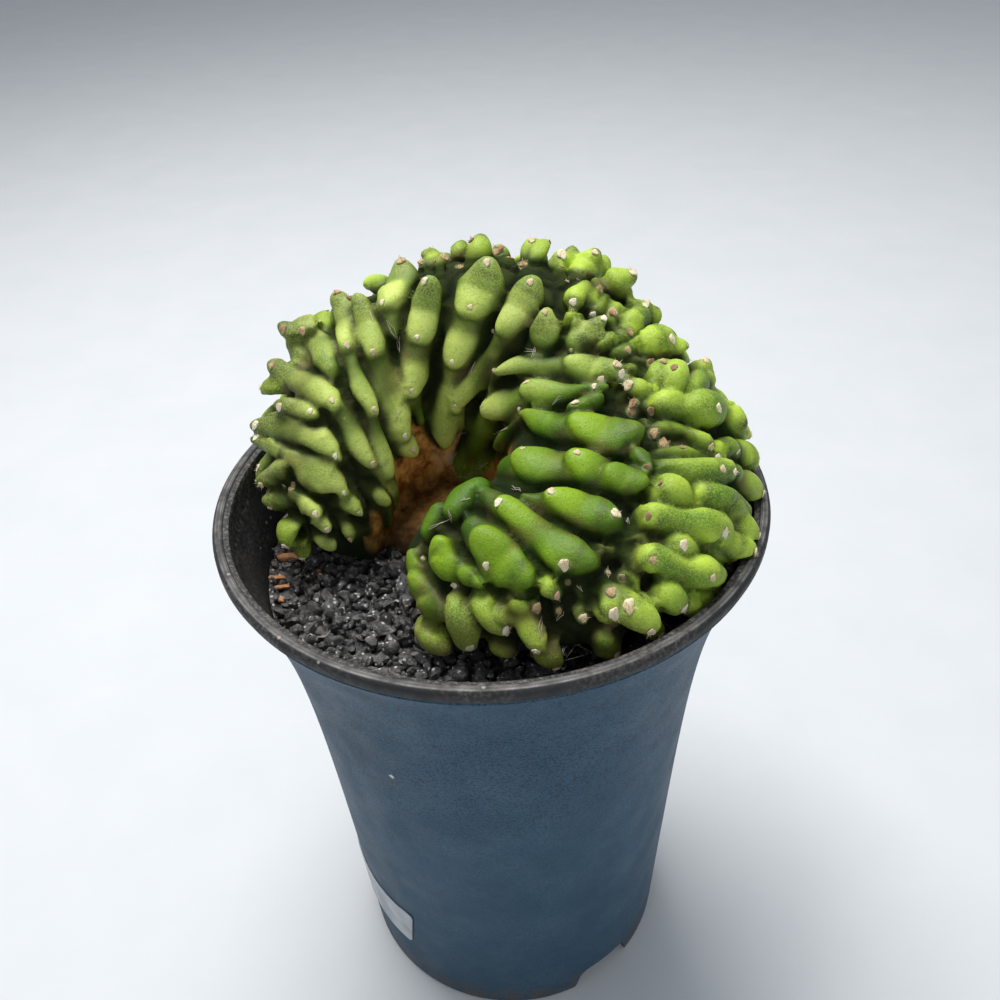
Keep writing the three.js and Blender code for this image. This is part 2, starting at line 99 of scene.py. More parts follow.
# Ribs of the inner face and of the front lobe, traced in the photograph from the growing edge down into
# the hollow. A station is the pixel column and row of the rib's middle, its half width in pixels and, on
# some, a mark: HEAD is the rib's blunt outer end, CHIN a tubercle that overhangs towards the hollow.
HEAD = 1
CHIN = 2
SEEN_RIBS = [
    [(268, 500, 10, HEAD), (285, 506, 12)],
    [(262, 481, 10, HEAD), (273, 470, 13), (287, 462, 10)],
    [(282, 495, 9), (303, 505, 13), (315, 513, 10, CHIN)],
    [(334, 498, 11), (351, 507, 12), (358, 512, 8, CHIN)],
    [(372, 487, 10), (387, 501, 10, CHIN)],
    [(311, 516, 9), (326, 528, 11, CHIN)],
    [(342, 515, 10), (351, 536, 10, CHIN)],
    [(310, 538, 9), (331, 546, 12, CHIN)],
    [(256, 440, 8, HEAD), (273, 447, 10), (288, 458, 12), (306, 470, 20), (326, 477, 21),
     (342, 491, 11, CHIN), (358, 503, 7)],
    [(257, 426, 10, HEAD), (280, 426, 16), (303, 436, 14), (324, 444, 19), (335, 456, 12, CHIN),
     (350, 470, 8)],
    [(280, 406, 13, HEAD), (297, 407, 15), (312, 413, 11, CHIN), (322, 420, 6)],
    [(274, 366, 12, HEAD), (300, 380, 16), (322, 392, 17), (333, 403, 13, CHIN), (346, 420, 15),
     (358, 441, 17), (371, 461, 12, CHIN), (382, 478, 8)],
    [(285, 328, 11, HEAD), (292, 342, 14), (303, 357, 13)],
    [(304, 333, 13, HEAD), (316, 347, 17), (327, 362, 14), (335, 376, 10)],
    [(338, 299, 15, HEAD), (342, 320, 14), (346, 343, 14, CHIN), (357, 370, 13), (369, 395, 14),
     (374, 409, 12, CHIN), (380, 440, 14), (389, 472, 12, CHIN)],
    [(358, 301, 14, HEAD), (366, 322, 17), (374, 349, 17, CHIN), (388, 376, 18), (401, 408, 21),
     (405, 433, 16, CHIN), (414, 451, 13, CHIN)],
    [(402, 266, 15, HEAD), (395, 283, 18), (388, 301, 18, CHIN), (393, 325, 12), (400, 345, 7)],
    [(430, 285, 17, HEAD), (425, 308, 19), (420, 336, 19, CHIN), (416, 362, 19), (413, 390, 18, CHIN),
     (420, 412, 11), (429, 432, 8)],
    [(487, 268, 20, HEAD), (480, 288, 25), (469, 309, 24, CHIN), (462, 336, 20), (454, 361, 18, CHIN),
     (450, 384, 11), (447, 406, 14), (447, 428, 18), (446, 442, 13, CHIN)],
    [(532, 285, 19, HEAD), (519, 304, 21), (503, 327, 17, CHIN), (491, 347, 12), (477, 372, 14),
     (461, 396, 15), (456, 407, 11, CHIN), (461, 424, 11), (463, 440, 9)],
    [(545, 315, 15, HEAD), (543, 332, 19), (536, 350, 14)],
    [(601, 322, 10, HEAD), (584, 333, 16), (564, 349, 12)],
    [(614, 368, 14, HEAD), (598, 366, 17), (572, 362, 17, CHIN), (545, 364, 15), (518, 366, 12),
     (498, 371, 8, CHIN), (486, 383, 7)],
    [(604, 386, 11, HEAD), (578, 386, 10), (546, 388, 17), (527, 390, 17, CHIN), (505, 405, 18),
     (486, 411, 15, CHIN), (479, 431, 18), (475, 450, 16), (470, 466, 11)],
    [(598, 396, 13, HEAD), (582, 402, 13), (560, 409, 9)],
    [(634, 430, 20, HEAD), (607, 430, 25), (577, 420, 20, CHIN), (548, 419, 16), (522, 412, 9, CHIN),
     (503, 427, 9), (494, 440, 12), (489, 453, 11)],
    [(648, 466, 9, HEAD), (640, 452, 13), (628, 440, 12)],
    [(642, 481, 16, HEAD), (613, 471, 20, CHIN), (590, 462, 22), (575, 458, 22, CHIN), (546, 459, 22),
     (520, 456, 21, CHIN), (503, 457, 19), (491, 463, 13)],
    [(627, 517, 12), (611, 515, 20, HEAD), (584, 505, 21), (553, 496, 18, CHIN), (533, 495, 12),
     (513, 489, 7)],
    [(602, 568, 10), (588, 560, 18, HEAD), (560, 548, 23), (530, 522, 19), (504, 502, 18, CHIN),
     (487, 490, 15), (478, 481, 12)],
    [(484, 475, 12), (470, 484, 17), (458, 493, 20), (449, 507, 18), (445, 520, 12)],
    [(440, 500, 12), (431, 512, 16), (424, 528, 17), (420, 544, 13)],
    [(526, 578, 19, HEAD), (503, 563, 25), (480, 536, 22, CHIN), (465, 521, 17), (456, 514, 13)],
    [(480, 583, 11, HEAD), (464, 575, 15, CHIN), (438, 564, 17, CHIN), (438, 544, 18, CHIN),
     (437, 530, 14)],
    [(446, 614, 14, HEAD), (424, 606, 20, CHIN), (413, 580, 15, CHIN), (411, 556, 13, CHIN),
     (418, 538, 11)],
]

# Pods beyond the growing edge, traced in the same way, unmarked, from their inner to their outer end.
SEEN_PODS = [
    [(456, 598, 13), (464, 620, 15), (470, 644, 11)],
    [(428, 620, 14), (436, 636, 14), (446, 650, 10)],
    [(480, 600, 13), (494, 615, 14), (506, 631, 9)],
    [(512, 597, 11), (536, 608, 10)],
    [(545, 583, 12), (557, 596, 8)],
    [(498, 638, 13), (510, 652, 10)],
    [(636, 346, 10), (656, 342, 14), (671, 341, 9)],
    [(613, 341, 8), (622, 337, 10), (634, 330, 8)],
    [(614, 356, 7), (626, 351, 9), (645, 345, 7)],
    [(608, 337, 9), (600, 345, 9)],
    [(629, 363, 7), (650, 362, 8)],
    [(652, 392, 11), (659, 377, 13), (665, 364, 9)],
    [(671, 398, 13), (673, 381, 15), (676, 367, 10)],
    [(690, 394, 13), (699, 377, 14), (706, 364, 10)],
    [(614, 384, 7), (622, 374, 9), (634, 372, 8)],
    [(648, 396, 11), (632, 387, 12)],
    [(644, 408, 6), (634, 403, 7)],
    [(640, 431, 7), (645, 423, 8)],
    [(644, 445, 5), (640, 440, 5)],
    [(649, 410, 10), (664, 407, 15), (683, 408, 13), (701, 410, 17), (719, 410, 11)],
    [(721, 414, 14), (741, 424, 11)],
    [(649, 434, 8), (665, 430, 10), (683, 433, 8), (698, 441, 10), (711, 448, 8)],
    [(716, 450, 9), (727, 450, 11), (738, 452, 7)],
    [(651, 447, 5), (664, 444, 6)],
    [(672, 449, 5), (682, 446, 5)],
    [(654, 458, 8), (682, 456, 9), (700, 459, 7)],
    [(702, 455, 6), (717, 456, 7)],
    [(650, 470, 10), (678, 472, 12), (705, 473, 13), (726, 472, 11), (737, 476, 7)],
    [(700, 494, 13), (722, 500, 13), (742, 516, 12)],
    [(652, 493, 13), (670, 492, 16), (691, 499, 10)],
    [(638, 519, 12), (655, 518, 15), (680, 522, 13), (705, 526, 16), (724, 533, 11)],
    [(634, 506, 7), (646, 503, 6)],
    [(663, 548, 9), (680, 546, 13), (697, 553, 6)],
    [(709, 553, 10), (728, 553, 13)],
    [(619, 537, 8), (644, 541, 9)],
    [(639, 558, 13), (655, 560, 15), (680, 568, 13), (700, 572, 16), (716, 577, 12)],
    [(702, 590, 8), (717, 590, 9)],
    [(622, 574, 9), (636, 584, 9)],
    [(655, 592, 12), (668, 596, 15), (685, 607, 9)],
    [(688, 603, 10), (696, 611, 8)],
    [(601, 587, 7), (614, 594, 8)],
    [(644, 601, 12), (630, 605, 10)],
    [(646, 618, 10), (654, 629, 10), (661, 637, 6)],
    [(598, 603, 9), (607, 611, 12), (619, 623, 7)],
    [(602, 634, 10), (608, 644, 13), (616, 654, 8)],
    [(579, 607, 8), (584, 621, 7)],
    [(557, 605, 5), (558, 617, 5)],
    [(580, 585, 6), (582, 598, 6)],
    [(598, 549, 8), (613, 552, 8)],
    [(622, 553, 7), (630, 563, 7)],
    [(584, 290, 10), (574, 302, 12)],
    [(588, 304, 10), (600, 288, 11)],
    [(608, 292, 13), (620, 284, 15), (631, 276, 10)],
    [(606, 302, 9), (594, 312, 9)],
    [(568, 320, 10), (580, 318, 9)],
    [(610, 324, 10), (616, 309, 11)],
    [(629, 326, 13), (638, 315, 14), (647, 306, 9)],
    [(648, 328, 9), (655, 311, 9)],
]

# Pods that stand up like fingers behind the crest's top, from the foot of each to its tip.
SEEN_FINGERS = [
    [(432, 280, 9), (423, 263, 8)],
    [(446, 281, 10), (444, 258, 9)],
    [(456, 290, 10), (458, 268, 9)],
    [(456, 268, 10), (462, 245, 9)],
    [(478, 270, 14), (481, 240, 11)],
    [(503, 282, 13), (499, 250, 10)],
    [(534, 280, 14), (533, 246, 11)],
    [(522, 282, 10), (523, 262, 9)],
    [(555, 300, 9), (558, 276, 13), (561, 256, 10)],
    [(571, 268, 9), (572, 250, 8)],
    [(570, 297, 9), (584, 273, 13), (595, 254, 10)],
    [(604, 276, 6), (604, 258, 6)],
]

# Areoles seen in the photograph: pixel column and row, and half the pad's width in pixels.
SEEN_AREOLES = [
    (261, 485, 4), (270, 508, 3), (256, 437, 4), (291, 489, 3), (344, 493, 2), (258, 468, 4), (315, 514, 3),
    (359, 513, 2), (285, 515, 3), (327, 530, 3), (350, 540, 3), (255, 425, 4), (335, 456, 3), (279, 407, 4),
    (310, 411, 3), (272, 365, 4), (332, 400, 3), (373, 464, 3), (283, 329, 4), (302, 331, 4), (337, 292, 4),
    (347, 345, 3), (374, 409, 3), (349, 298, 4), (373, 352, 3), (405, 436, 3), (414, 450, 3), (401, 261, 5),
    (382, 302, 3), (424, 281, 4), (417, 337, 3), (412, 391, 3), (487, 262, 4), (470, 307, 3), (452, 362, 2),
    (530, 282, 4), (493, 331, 2), (455, 406, 2), (545, 312, 3), (604, 318, 4), (617, 364, 5), (571, 350, 2),
    (494, 370, 2), (601, 380, 4), (526, 382, 3), (482, 406, 2), (594, 386, 3), (632, 411, 5), (575, 402, 4),
    (519, 409, 2), (647, 467, 4), (577, 452, 4), (522, 448, 3), (616, 513, 5), (551, 491, 4), (564, 565, 6),
    (498, 502, 4), (486, 566, 4), (454, 585, 4), (423, 558, 2), (470, 648, 5), (418, 612, 3), (506, 631, 5),
    (537, 608, 5), (557, 596, 5), (672, 339, 5), (630, 332, 4), (628, 350, 4), (651, 362, 4), (664, 362, 4),
    (674, 367, 4), (705, 360, 4), (622, 375, 5), (628, 385, 6), (633, 403, 5), (651, 411, 4), (719, 408, 4),
    (654, 433, 5), (711, 447, 4), (738, 452, 3), (664, 444, 5), (682, 447, 3), (718, 457, 4), (723, 469, 4),
    (735, 472, 4), (660, 483, 3), (648, 516, 4), (725, 533, 5), (684, 545, 5), (653, 560, 4), (713, 578, 4),
    (622, 577, 4), (684, 609, 5), (629, 606, 6), (611, 592, 6), (614, 614, 6), (661, 636, 4), (617, 655, 4),
    (583, 618, 5), (559, 611, 3), (421, 262, 4), (444, 257, 4), (460, 267, 4), (471, 240, 4), (498, 250, 6),
    (523, 264, 5), (532, 240, 4), (562, 254, 5), (595, 252, 4), (573, 302, 4), (600, 289, 4), (633, 272, 5),
    (593, 315, 4), (613, 312, 5), (646, 304, 4), (608, 572, 3),
]

# Ribs outside the growing edge, from the back of the crest round its right to the front:
# azimuth at the edge, azimuth at the soil, and the section angles of the tubercle tips.
OUTER_RIBS = [
    (202, 205, (176, 198)),
    (192, 195, (160, 182, 204)),
    (181, 182, (150, 174, 198)),
    (170, 169, (139, 160, 184, 206)),
    (159, 157, (131, 152, 175, 200)),
    (148, 146, (124, 146, 170, 196)),
    (137, 134, (118, 140, 164, 190)),
    (126, 123, (113, 136, 161, 186)),
    (115, 112, (110, 133, 157, 182, 206)),
    (104, 102, (109, 132, 155, 178, 202)),
    (94, 92, (108, 130, 152, 175, 198)),
    (84, 83, (107, 128, 150, 172, 196)),
    (74, 74, (105, 126, 148, 170, 194)),
    (64, 65, (104, 124, 146, 168, 192)),
    (54, 56, (103, 122, 144, 166, 190)),
    (44, 48, (102, 121, 142, 164, 188)),
    (34, 40, (101, 120, 141, 163, 187)),
    (25, 32, (101, 120, 140, 163, 187)),
    (16, 24, (102, 122, 146, 170, 194)),
    (7, 15, (104, 126, 150, 176)),
    (-2, 10, (106, 119, 146, 172)),
    (-10, 4, (107, 124, 143, 166, 190)),
    (-18, -1, (108, 138, 161, 184)),
    (-26, -12, (114, 134, 151, 176)),
    (-33, -21, (120, 144, 168, 190)),
    (-40, -28, (126, 150, 174)),
    (-47, -34, (131, 160, 180)),
    (-54, -40, (145, 172, 192)),
    (-62, -49, (149, 176, 196)),
    (-70, -58, (154, 178, 198)),
    (-79, -68, (160, 184, 204)),
    (-88, -80, (172, 194)),
    (-98, -92, (184, 202)),
]

# Rings of a straight tubercle along its rib, in millimetres from its areole, which sits at 0:
# place, half width, height of its top and of its underside against the crest's surface.
INNER_TUBERCLE = [
    (-11.4, 1.2, -2.8, -4.2),
    (-10.2, 2.1, -2.3, -5.0),
    (-8.4, 2.9, -1.6, -5.4),
    (-6.4, 3.5, -0.8, -5.6),
    (-4.4, 3.7, -0.1, -5.6),
    (-2.9, 3.5, 0.45, -5.2),
    (-1.5, 2.9, 0.85, -4.4),
    (-0.3, 2.1, 1.0, -3.2),
    (0.7, 1.2, 0.5, -2.0),
]
OUTER_TUBERCLE = [
    (-10.0, 1.2, -3.4, -4.4),
    (-9.0, 2.1, -2.5, -5.2),
    (-7.4, 2.9, -1.4, -5.4),
    (-5.6, 3.4, -0.4, -5.2),
    (-3.9, 3.5, 0.45, -4.5),
    (-2.3, 3.2, 1.05, -3.4),
    (-0.9, 2.5, 1.3, -2.0),
    (0.2, 1.7, 1.1, -0.8),
    (0.9, 0.9, 0.7, -0.1),
]
TUBERCLE_HALF_WIDTH = 3.6
TUBERCLE_SIDES = 18
SET_ASIDE = 100
TAIL_REFERENCE = 10.0
RIB_THICKNESS = 4.0
ROUND_BELOW = 2.0
RIB_FULLNESS = 1.28
POD_FULLNESS = 1.3
POD_STAND = 0.62
POD_POINT = 1.5
YOUNG_WIDTH = (1.5, 2.3)
FINGER_PUSH = 5.0
CORE_INNER_DEPTH = 2.8
CORE_OUTER_DEPTH = 3.4
CORK_TOP = 346.0
VALLEY_DEPTH = 3.4
VALLEY_WIDTH = 30.0
LOWEST_SEEN = 45.0
DESCENT = 24.0
SKIN_VOXEL = 0.45
SKIN_TRIANGLES = 180000
GROOVE_DEPTH = 1.5
GROOVE_WIDTH = 0.5
SEAM_WIDTH = 0.72
WIDE_APART = 7.0
SKIN_BELOW_GRAVEL = 2.5
CORK_LIT = 134.0
CORK_DARK = 119.0
TONE_STEP = 0.618
TONE_REACH = 2.6
POD_STAGGER = (-1.8, 2.6)
WOOL_HAIRS = 9
BARE_SHARE = 0.6
PAD_SIZE = {"outer": 0.75, "young": 0.42}
SMALLEST_WOOLLY = 0.7
YOUNG_BAND = 20
AREOLE_LEAN = {"head": -35, "inner": 38, "outer": 48, "young": 40}
FOOT_X = -5.0
FOOT_Y = 11.0
FOOT_RADIUS = 19.0
FOOT_TOP = -9.0

# The sticker: the azimuths of its ends, how many degrees shorter its lower edge is, and its heights
LABEL_FROM = -186.0
LABEL_TO = -127.0
LABEL_LEAN = 4.0
LABEL_BOTTOM = 16.0
LABEL_TOP = 31.0
LABEL_OFF_WALL = 0.12
LABEL_THICKNESS = 0.22
LABEL_CORNER = 1.2
LABEL_CURL = 0.12

# Gravel. A tan chip is its place and half its size, a root thread its place, heading and length.
BED_GAP = 0.3
GRAIN_SPACING = 2.55
GRAIN_ROW = 0.87
GRAIN_JITTER = 0.32
GRAIN_VARIANTS = 8
GRAIN_FLATS = 9
LAYER_HEIGHTS = (-0.35, 0.9)
UPPER_GRAINS = 0.34
TAN_SHARE = 0.012
TAN_CHIPS = [
    (-43.0, -1.5, 2.5), (-44.5, -7.5, 1.3), (-43.0, -10.5, 1.2), (-1.0, -47.0, 1.2), (8.0, -46.5, 1.3),
    (-30.0, -33.0, 1.1), (46.5, 12.0, 1.2), (30.0, 38.0, 1.4), (-36.0, 30.0, 1.3),
]
ROOT_THREADS = [
    (28.0, -34.0, 60, 7.0), (40.0, -22.0, 120, 6.0), (34.0, -31.0, -20, 5.0), (47.0, -4.0, 100, 5.5),
    (-20.0, -40.0, 30, 6.0), (-36.0, -26.0, -40, 5.0), (-8.0, -45.0, 10, 5.0), (6.0, 45.0, 170, 6.0),
]
ROOT_THREAD_RADIUS = 0.12

# Strands of pale fibre in the grooves: the pixels between which each lies.
SEEN_FIBRES = [
    (398, 338, 400, 352), (370, 312, 373, 322), (389, 322, 396, 338), (526, 350, 536, 352),
    (532, 356, 535, 346), (495, 433, 508, 428), (513, 487, 521, 491), (477, 468, 488, 462),
    (462, 500, 470, 499), (449, 511, 452, 522), (464, 430, 458, 436), (452, 448, 448, 462),
    (457, 452, 446, 466), (470, 374, 476, 362), (396, 420, 402, 408), (430, 528, 452, 518),
    (560, 398, 552, 405), (607, 566, 608, 578), (578, 584, 582, 592), (630, 524, 628, 518),
    (540, 636, 541, 618), (520, 652, 517, 662), (561, 612, 556, 620), (580, 648, 581, 662),
    (566, 646, 568, 656),
]
FIBRE_LIFT = 0.15
FIBRE_RADIUS = 0.04
FIBRE_SPREAD = 2.2
THREAD_CUTS = 11

# The photograph's camera, its picture and how far its rays look for the crest. A pod whose skin
# turns further from the view than EDGE_ON, the cosine between them, isn't raised on its ray.
CAMERA_PLACE = (1.9, -161.1, 254.3)
CAMERA_ELEVATION = 37.6
CAMERA_ROLL = -3.11
PHOTO_SIZE = 1000
FOCAL_PIXELS = 1000.0
EDGE_ON = 0.12
NEAREST_LOOK = 130.0
FARTHEST_LOOK = 300.0


# Objects and edit mode

def deselect_all():
    if bpy.context.object and bpy.context.object.mode != "OBJECT":
        bpy.ops.object.mode_set(mode="OBJECT")
    bpy.ops.object.select_all(action="DESELECT")


def make_active(piece):
    deselect_all()
    piece.select_set(True)
    bpy.context.view_layer.objects.active = piece


def newest(name):
    piece = bpy.context.object
    piece.name = name
    piece.data.name = name
    return piece


def select_in_edit(piece, chosen):
    """Edit mode with only those vertices selected for which chosen(co) holds."""
    make_active(piece)
    bpy.ops.object.mode_set(mode="EDIT")
    bpy.ops.mesh.select_mode(type="VERT")
    mesh = bmesh.from_edit_mesh(piece.data)
    for vertex in mesh.verts:
        vertex.select = bool(chosen(vertex.co))
    mesh.select_flush_mode()
    bmesh.update_edit_mesh(piece.data)


def edit_all(piece):
    make_active(piece)
    bpy.ops.object.mode_set(mode="EDIT")
    bpy.ops.mesh.select_all(action="SELECT")


def leave_edit():
    bpy.ops.object.mode_set(mode="OBJECT")


def add_modifier(piece, kind, **settings):
    """Adds a modifier with these settings and applies it."""
    make_active(piece)
    made = piece.modifiers.new(kind.lower(), kind)
    for name, value in settings.items():
        setattr(made, name, value)
    bpy.ops.object.modifier_apply(modifier=made.name)


def coordinates(piece, kind="co"):
    """A row for each vertex: its place, or its normal where that is the kind."""
    rows = np.empty(len(piece.data.vertices) * 3)
    piece.data.vertices.foreach_get(kind, rows)
    return rows.reshape(-1, 3)


def move_points(piece, points):
    piece.data.vertices.foreach_set("co", np.asarray(points, float).ravel())
    piece.data.update()


def copy_of(piece, name):
    made = piece.copy()
    made.data = piece.data.copy()
    made.name = name
    bpy.context.scene.collection.objects.link(made)
    return made


def join(pieces, name):
    """Joins pieces into the first one."""
    deselect_all()
    for piece in pieces:
        piece.select_set(True)
    bpy.context.view_layer.objects.active = pieces[0]
    if len(pieces) > 1:
        bpy.ops.object.join()
    return newest(name)


def discard(*pieces):
    for piece in pieces:
        bpy.data.objects.remove(piece)


def shade_smooth(piece, angle=None):
    make_active(piece)
    if angle is None:
        bpy.ops.object.shade_smooth()
    else:
        bpy.ops.object.shade_smooth_by_angle(angle=math.radians(angle))


def set_attribute(piece, name, values):
    """A number for each vertex, which the materials read by its name."""
    made = piece.data.attributes.new(name, "FLOAT", "POINT")
    made.data.foreach_set("value", np.asarray(values, np.float32))


def finish_piece(piece, node, slot, *materials):
    for material in materials:
        piece.data.materials.append(material)
    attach(piece, "root")
    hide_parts(node)
    return piece


def smoothstep(low, high, value):
    t = np.clip((np.asarray(value, float) - low) / (high - low), 0, 1)
    return t * t * (3 - 2 * t)


# Shader nodes

def srgb(red, green, blue):
    """A colour named by its screen values from 0 to 255, as the shader's linear one."""
    def linear(value):
        part = value / 255
        return part / 12.92 if part <= 0.04045 else ((part + 0.055) / 1.055) ** 2.4
    return (linear(red), linear(green), linear(blue), 1.0)


def add_node(tree, kind, inputs=None, **settings):
    """A node of that kind. inputs maps a socket to a value or to the output that feeds it."""
    made = tree.nodes.new(kind)
    for name, value in settings.items():
        setattr(made, name, value)
    for socket, value in (inputs or {}).items():
        if isinstance(value, bpy.types.NodeSocket):
            tree.links.new(value, made.inputs[socket])
        else:
            made.inputs[socket].default_value = value
    return made


def noise(tree, coords, scale, detail=3.0, roughness=0.55):
    made = add_node(tree, "ShaderNodeTexNoise", {
        "Vector": coords, "Scale": scale, "Detail": detail, "Roughness": roughness,
    })
    return made.outputs["Fac"]


def ramp(tree, value, low, high, start=0.0, end=1.0):
    """Maps value from low..high to start..end, smoothly and held at the ends."""
    made = add_node(tree, "ShaderNodeMapRange", {
        "Value": value, "From Min": low, "From Max": high, "To Min": start, "To Max": end,
    }, interpolation_type="SMOOTHSTEP")
    return made.outputs["Result"]


def maths(tree, operation, first, second=0.0):
    made = add_node(tree, "ShaderNodeMath", {0: first, 1: second}, operation=operation)
    return made.outputs["Value"]


def mix(tree, factor, first, second):
    made = add_node(tree, "ShaderNodeMix", data_type="RGBA")
    sockets = (made.inputs["Factor"], made.inputs[6], made.inputs[7])
    for socket, value in zip(sockets, (factor, first, second)):
        if isinstance(value, bpy.types.NodeSocket):
            tree.links.new(value, socket)
        else:
            socket.default_value = value
    return made.outputs[2]


def attribute(tree, name):
    return add_node(tree, "ShaderNodeAttribute", attribute_name=name).outputs["Fac"]


def object_coords(tree):
    return add_node(tree, "ShaderNodeTexCoord").outputs["Object"]


def new_material(name, **constants):
    """A material with its shader, on which the numbers that are the same all over are set."""
    made = bpy.data.materials.new(name)
    made.use_nodes = True
    tree = made.node_tree
    shader = tree.nodes["Principled BSDF"]
    for socket, value in constants.items():
        shader.inputs[socket.replace("_", " ")].default_value = value
    return made, tree, shader


def times(tree, first, second):
    return maths(tree, "MULTIPLY", first, second)


def band(tree, value, limits):
    """1 between the middle two of four limits in millimetres, falling to 0 at the outer two."""
    low, full_from, full_to, high = [limit * MM for limit in limits]
    return times(tree, ramp(tree, value, low, full_from), ramp(tree, value, high, full_to))


def feed(tree, shader, colour, roughness, height=None, distance=None):
    """Links a colour, a roughness and, where there is one, a relief this many millimetres deep."""
    tree.links.new(colour, shader.inputs["Base Color"])
    tree.links.new(roughness, shader.inputs["Roughness"])
    if height is not None:
        bump = add_node(tree, "ShaderNodeBump", {"Height": height, "Distance": distance * MM})
        tree.links.new(bump.outputs["Normal"], shader.inputs["Normal"])


def new_group(name, inputs, outputs):
    group = bpy.data.node_groups.new(name, "ShaderNodeTree")
    for label, kind, value in inputs:
        socket = group.interface.new_socket(label, in_out="INPUT", socket_type=kind)
        if value is not None:
            socket.default_value = value
    for label, kind in outputs:
        group.interface.new_socket(label, in_out="OUTPUT", socket_type=kind)
    entry = group.nodes.new("NodeGroupInput")
    leave = group.nodes.new("NodeGroupOutput")
    return group, entry.outputs, leave.inputs


def use_group(tree, group, **values):
    made = tree.nodes.new("ShaderNodeGroup")
    made.node_tree = group
    for name, value in values.items():
        socket = made.inputs[name.replace("_", " ")]
        if isinstance(value, bpy.types.NodeSocket):
            tree.links.new(value, socket)
        else:
            socket.default_value = value
    return made.outputs


def make_speck_group():
    """Round specks of uneven size strewn over a surface, in this share of its cells."""
    group, given, result = new_group("strewn_specks", [
        ("Coordinates", "NodeSocketVector", None),
        ("Scale", "NodeSocketFloat", 1000.0),
        ("Size", "NodeSocketFloat", 0.3),
        ("Share", "NodeSocketFloat", 0.5),
    ], [("Mask", "NodeSocketFloat")])
    cells = add_node(group, "ShaderNodeTexVoronoi", {
        "Vector": given["Coordinates"], "Scale": given["Scale"], "Randomness": 1.0,
    })
    parts = add_node(group, "ShaderNodeSeparateColor", {"Color": cells.outputs["Color"]})
    size = times(group, parts.outputs["Red"], given["Size"])
    inside = maths(group, "SUBTRACT", size, cells.outputs["Distance"])
    edge = ramp(group, inside, 0.0, 0.12)
    kept = maths(group, "LESS_THAN", parts.outputs["Green"], given["Share"])
    group.links.new(times(group, edge, kept), result["Mask"])
    return group


def make_dust_group():
    """Dust and scuffs: patches from a slow noise, broken up by a fine one."""
    group, given, result = new_group("dust", [
        ("Coordinates", "NodeSocketVector", None),
        ("Patch Scale", "NodeSocketFloat", 60.0),
        ("Grain Scale", "NodeSocketFloat", 1500.0),
        ("Amount", "NodeSocketFloat", 0.5),
    ], [("Mask", "NodeSocketFloat")])
    patches = ramp(group, noise(group, given["Coordinates"], given["Patch Scale"], 4.0), 0.35, 0.7)
    grains = ramp(group, noise(group, given["Coordinates"], given["Grain Scale"], 2.0), 0.42, 0.68)
    both = times(group, patches, grains)
    group.links.new(times(group, both, given["Amount"]), result["Mask"])
    return group


strewn_specks = make_speck_group()
dust = make_dust_group()


def specked(tree, coords, scale, size, share):
    return use_group(tree, strewn_specks, Coordinates=coords, Scale=scale, Size=size, Share=share)["Mask"]


def dusted(tree, coords, colour, tint, patch_scale, grain_scale, amount):
    """A colour with dust or scuffs of this tint over it."""
    mask = use_group(
        tree, dust, Coordinates=coords, Patch_Scale=patch_scale, Grain_Scale=grain_scale, Amount=amount)
    return mix(tree, mask["Mask"], colour, tint)


# Pot

def wall_radius(z):
    return BASE_RADIUS + WALL_SLOPE * z + FLARE * np.exp(-(POT_HEIGHT - z) / FLARE_DEPTH)


def pot_profile():
    """The pot's section from the middle of its floor's underside, round the lip, to the floor's top."""
    top = POT_HEIGHT
    lip = LIP_RADIUS
    outside = [(BASE_RADIUS - 0.5, 0.0), (BASE_RADIUS - 0.12, 0.2), (BASE_RADIUS + 0.03, 0.7)]
    heights = np.concatenate([np.arange(4, 100, 6), np.arange(100, 130.5, 2)])
    outside += [(wall_radius(z), z) for z in heights]
    rim = [
        (wall_radius(top - 3.3), top - 3.3),
        (lip - 0.75, top - 2.75),
        (lip - 0.2, top - 2.5),
        (lip, top - 2.15),
        (lip, top - 0.95),
        (lip - 0.12, top - 0.55),
        (lip - 0.45, top - 0.15),
        (lip - 0.8, top),
        (lip - 1.5, top),
        (lip - 1.85, top - 0.12),
        (lip - 2.1, top - 0.5),
        (lip - 2.7, top - 0.62),
        (lip - 3.1, top - 0.75),
        (lip - 3.25, top - 1.3),
        (lip - 3.3, top - 2.4),
    ]
    inner_heights = list(np.arange(128.5, 96, -3)) + list(np.arange(96, FLOOR_TOP + 4, -9))
    inside = [(wall_radius(z) - WALL, z) for z in inner_heights]
    inner_foot = BASE_RADIUS - FOOT_WIDTH
    return [
        (0, FLOOR_BOTTOM), (DRAIN_RING, FLOOR_BOTTOM), (inner_foot - 0.6, FLOOR_BOTTOM),
        (inner_foot, FLOOR_BOTTOM - 0.6), (inner_foot, 0.4), (inner_foot + 0.4, 0.0),
        *outside, *rim, *inside,
        (wall_radius(FLOOR_TOP) - WALL - 1.2, FLOOR_TOP), (DRAIN_RING, FLOOR_TOP), (0, FLOOR_TOP),
    ]


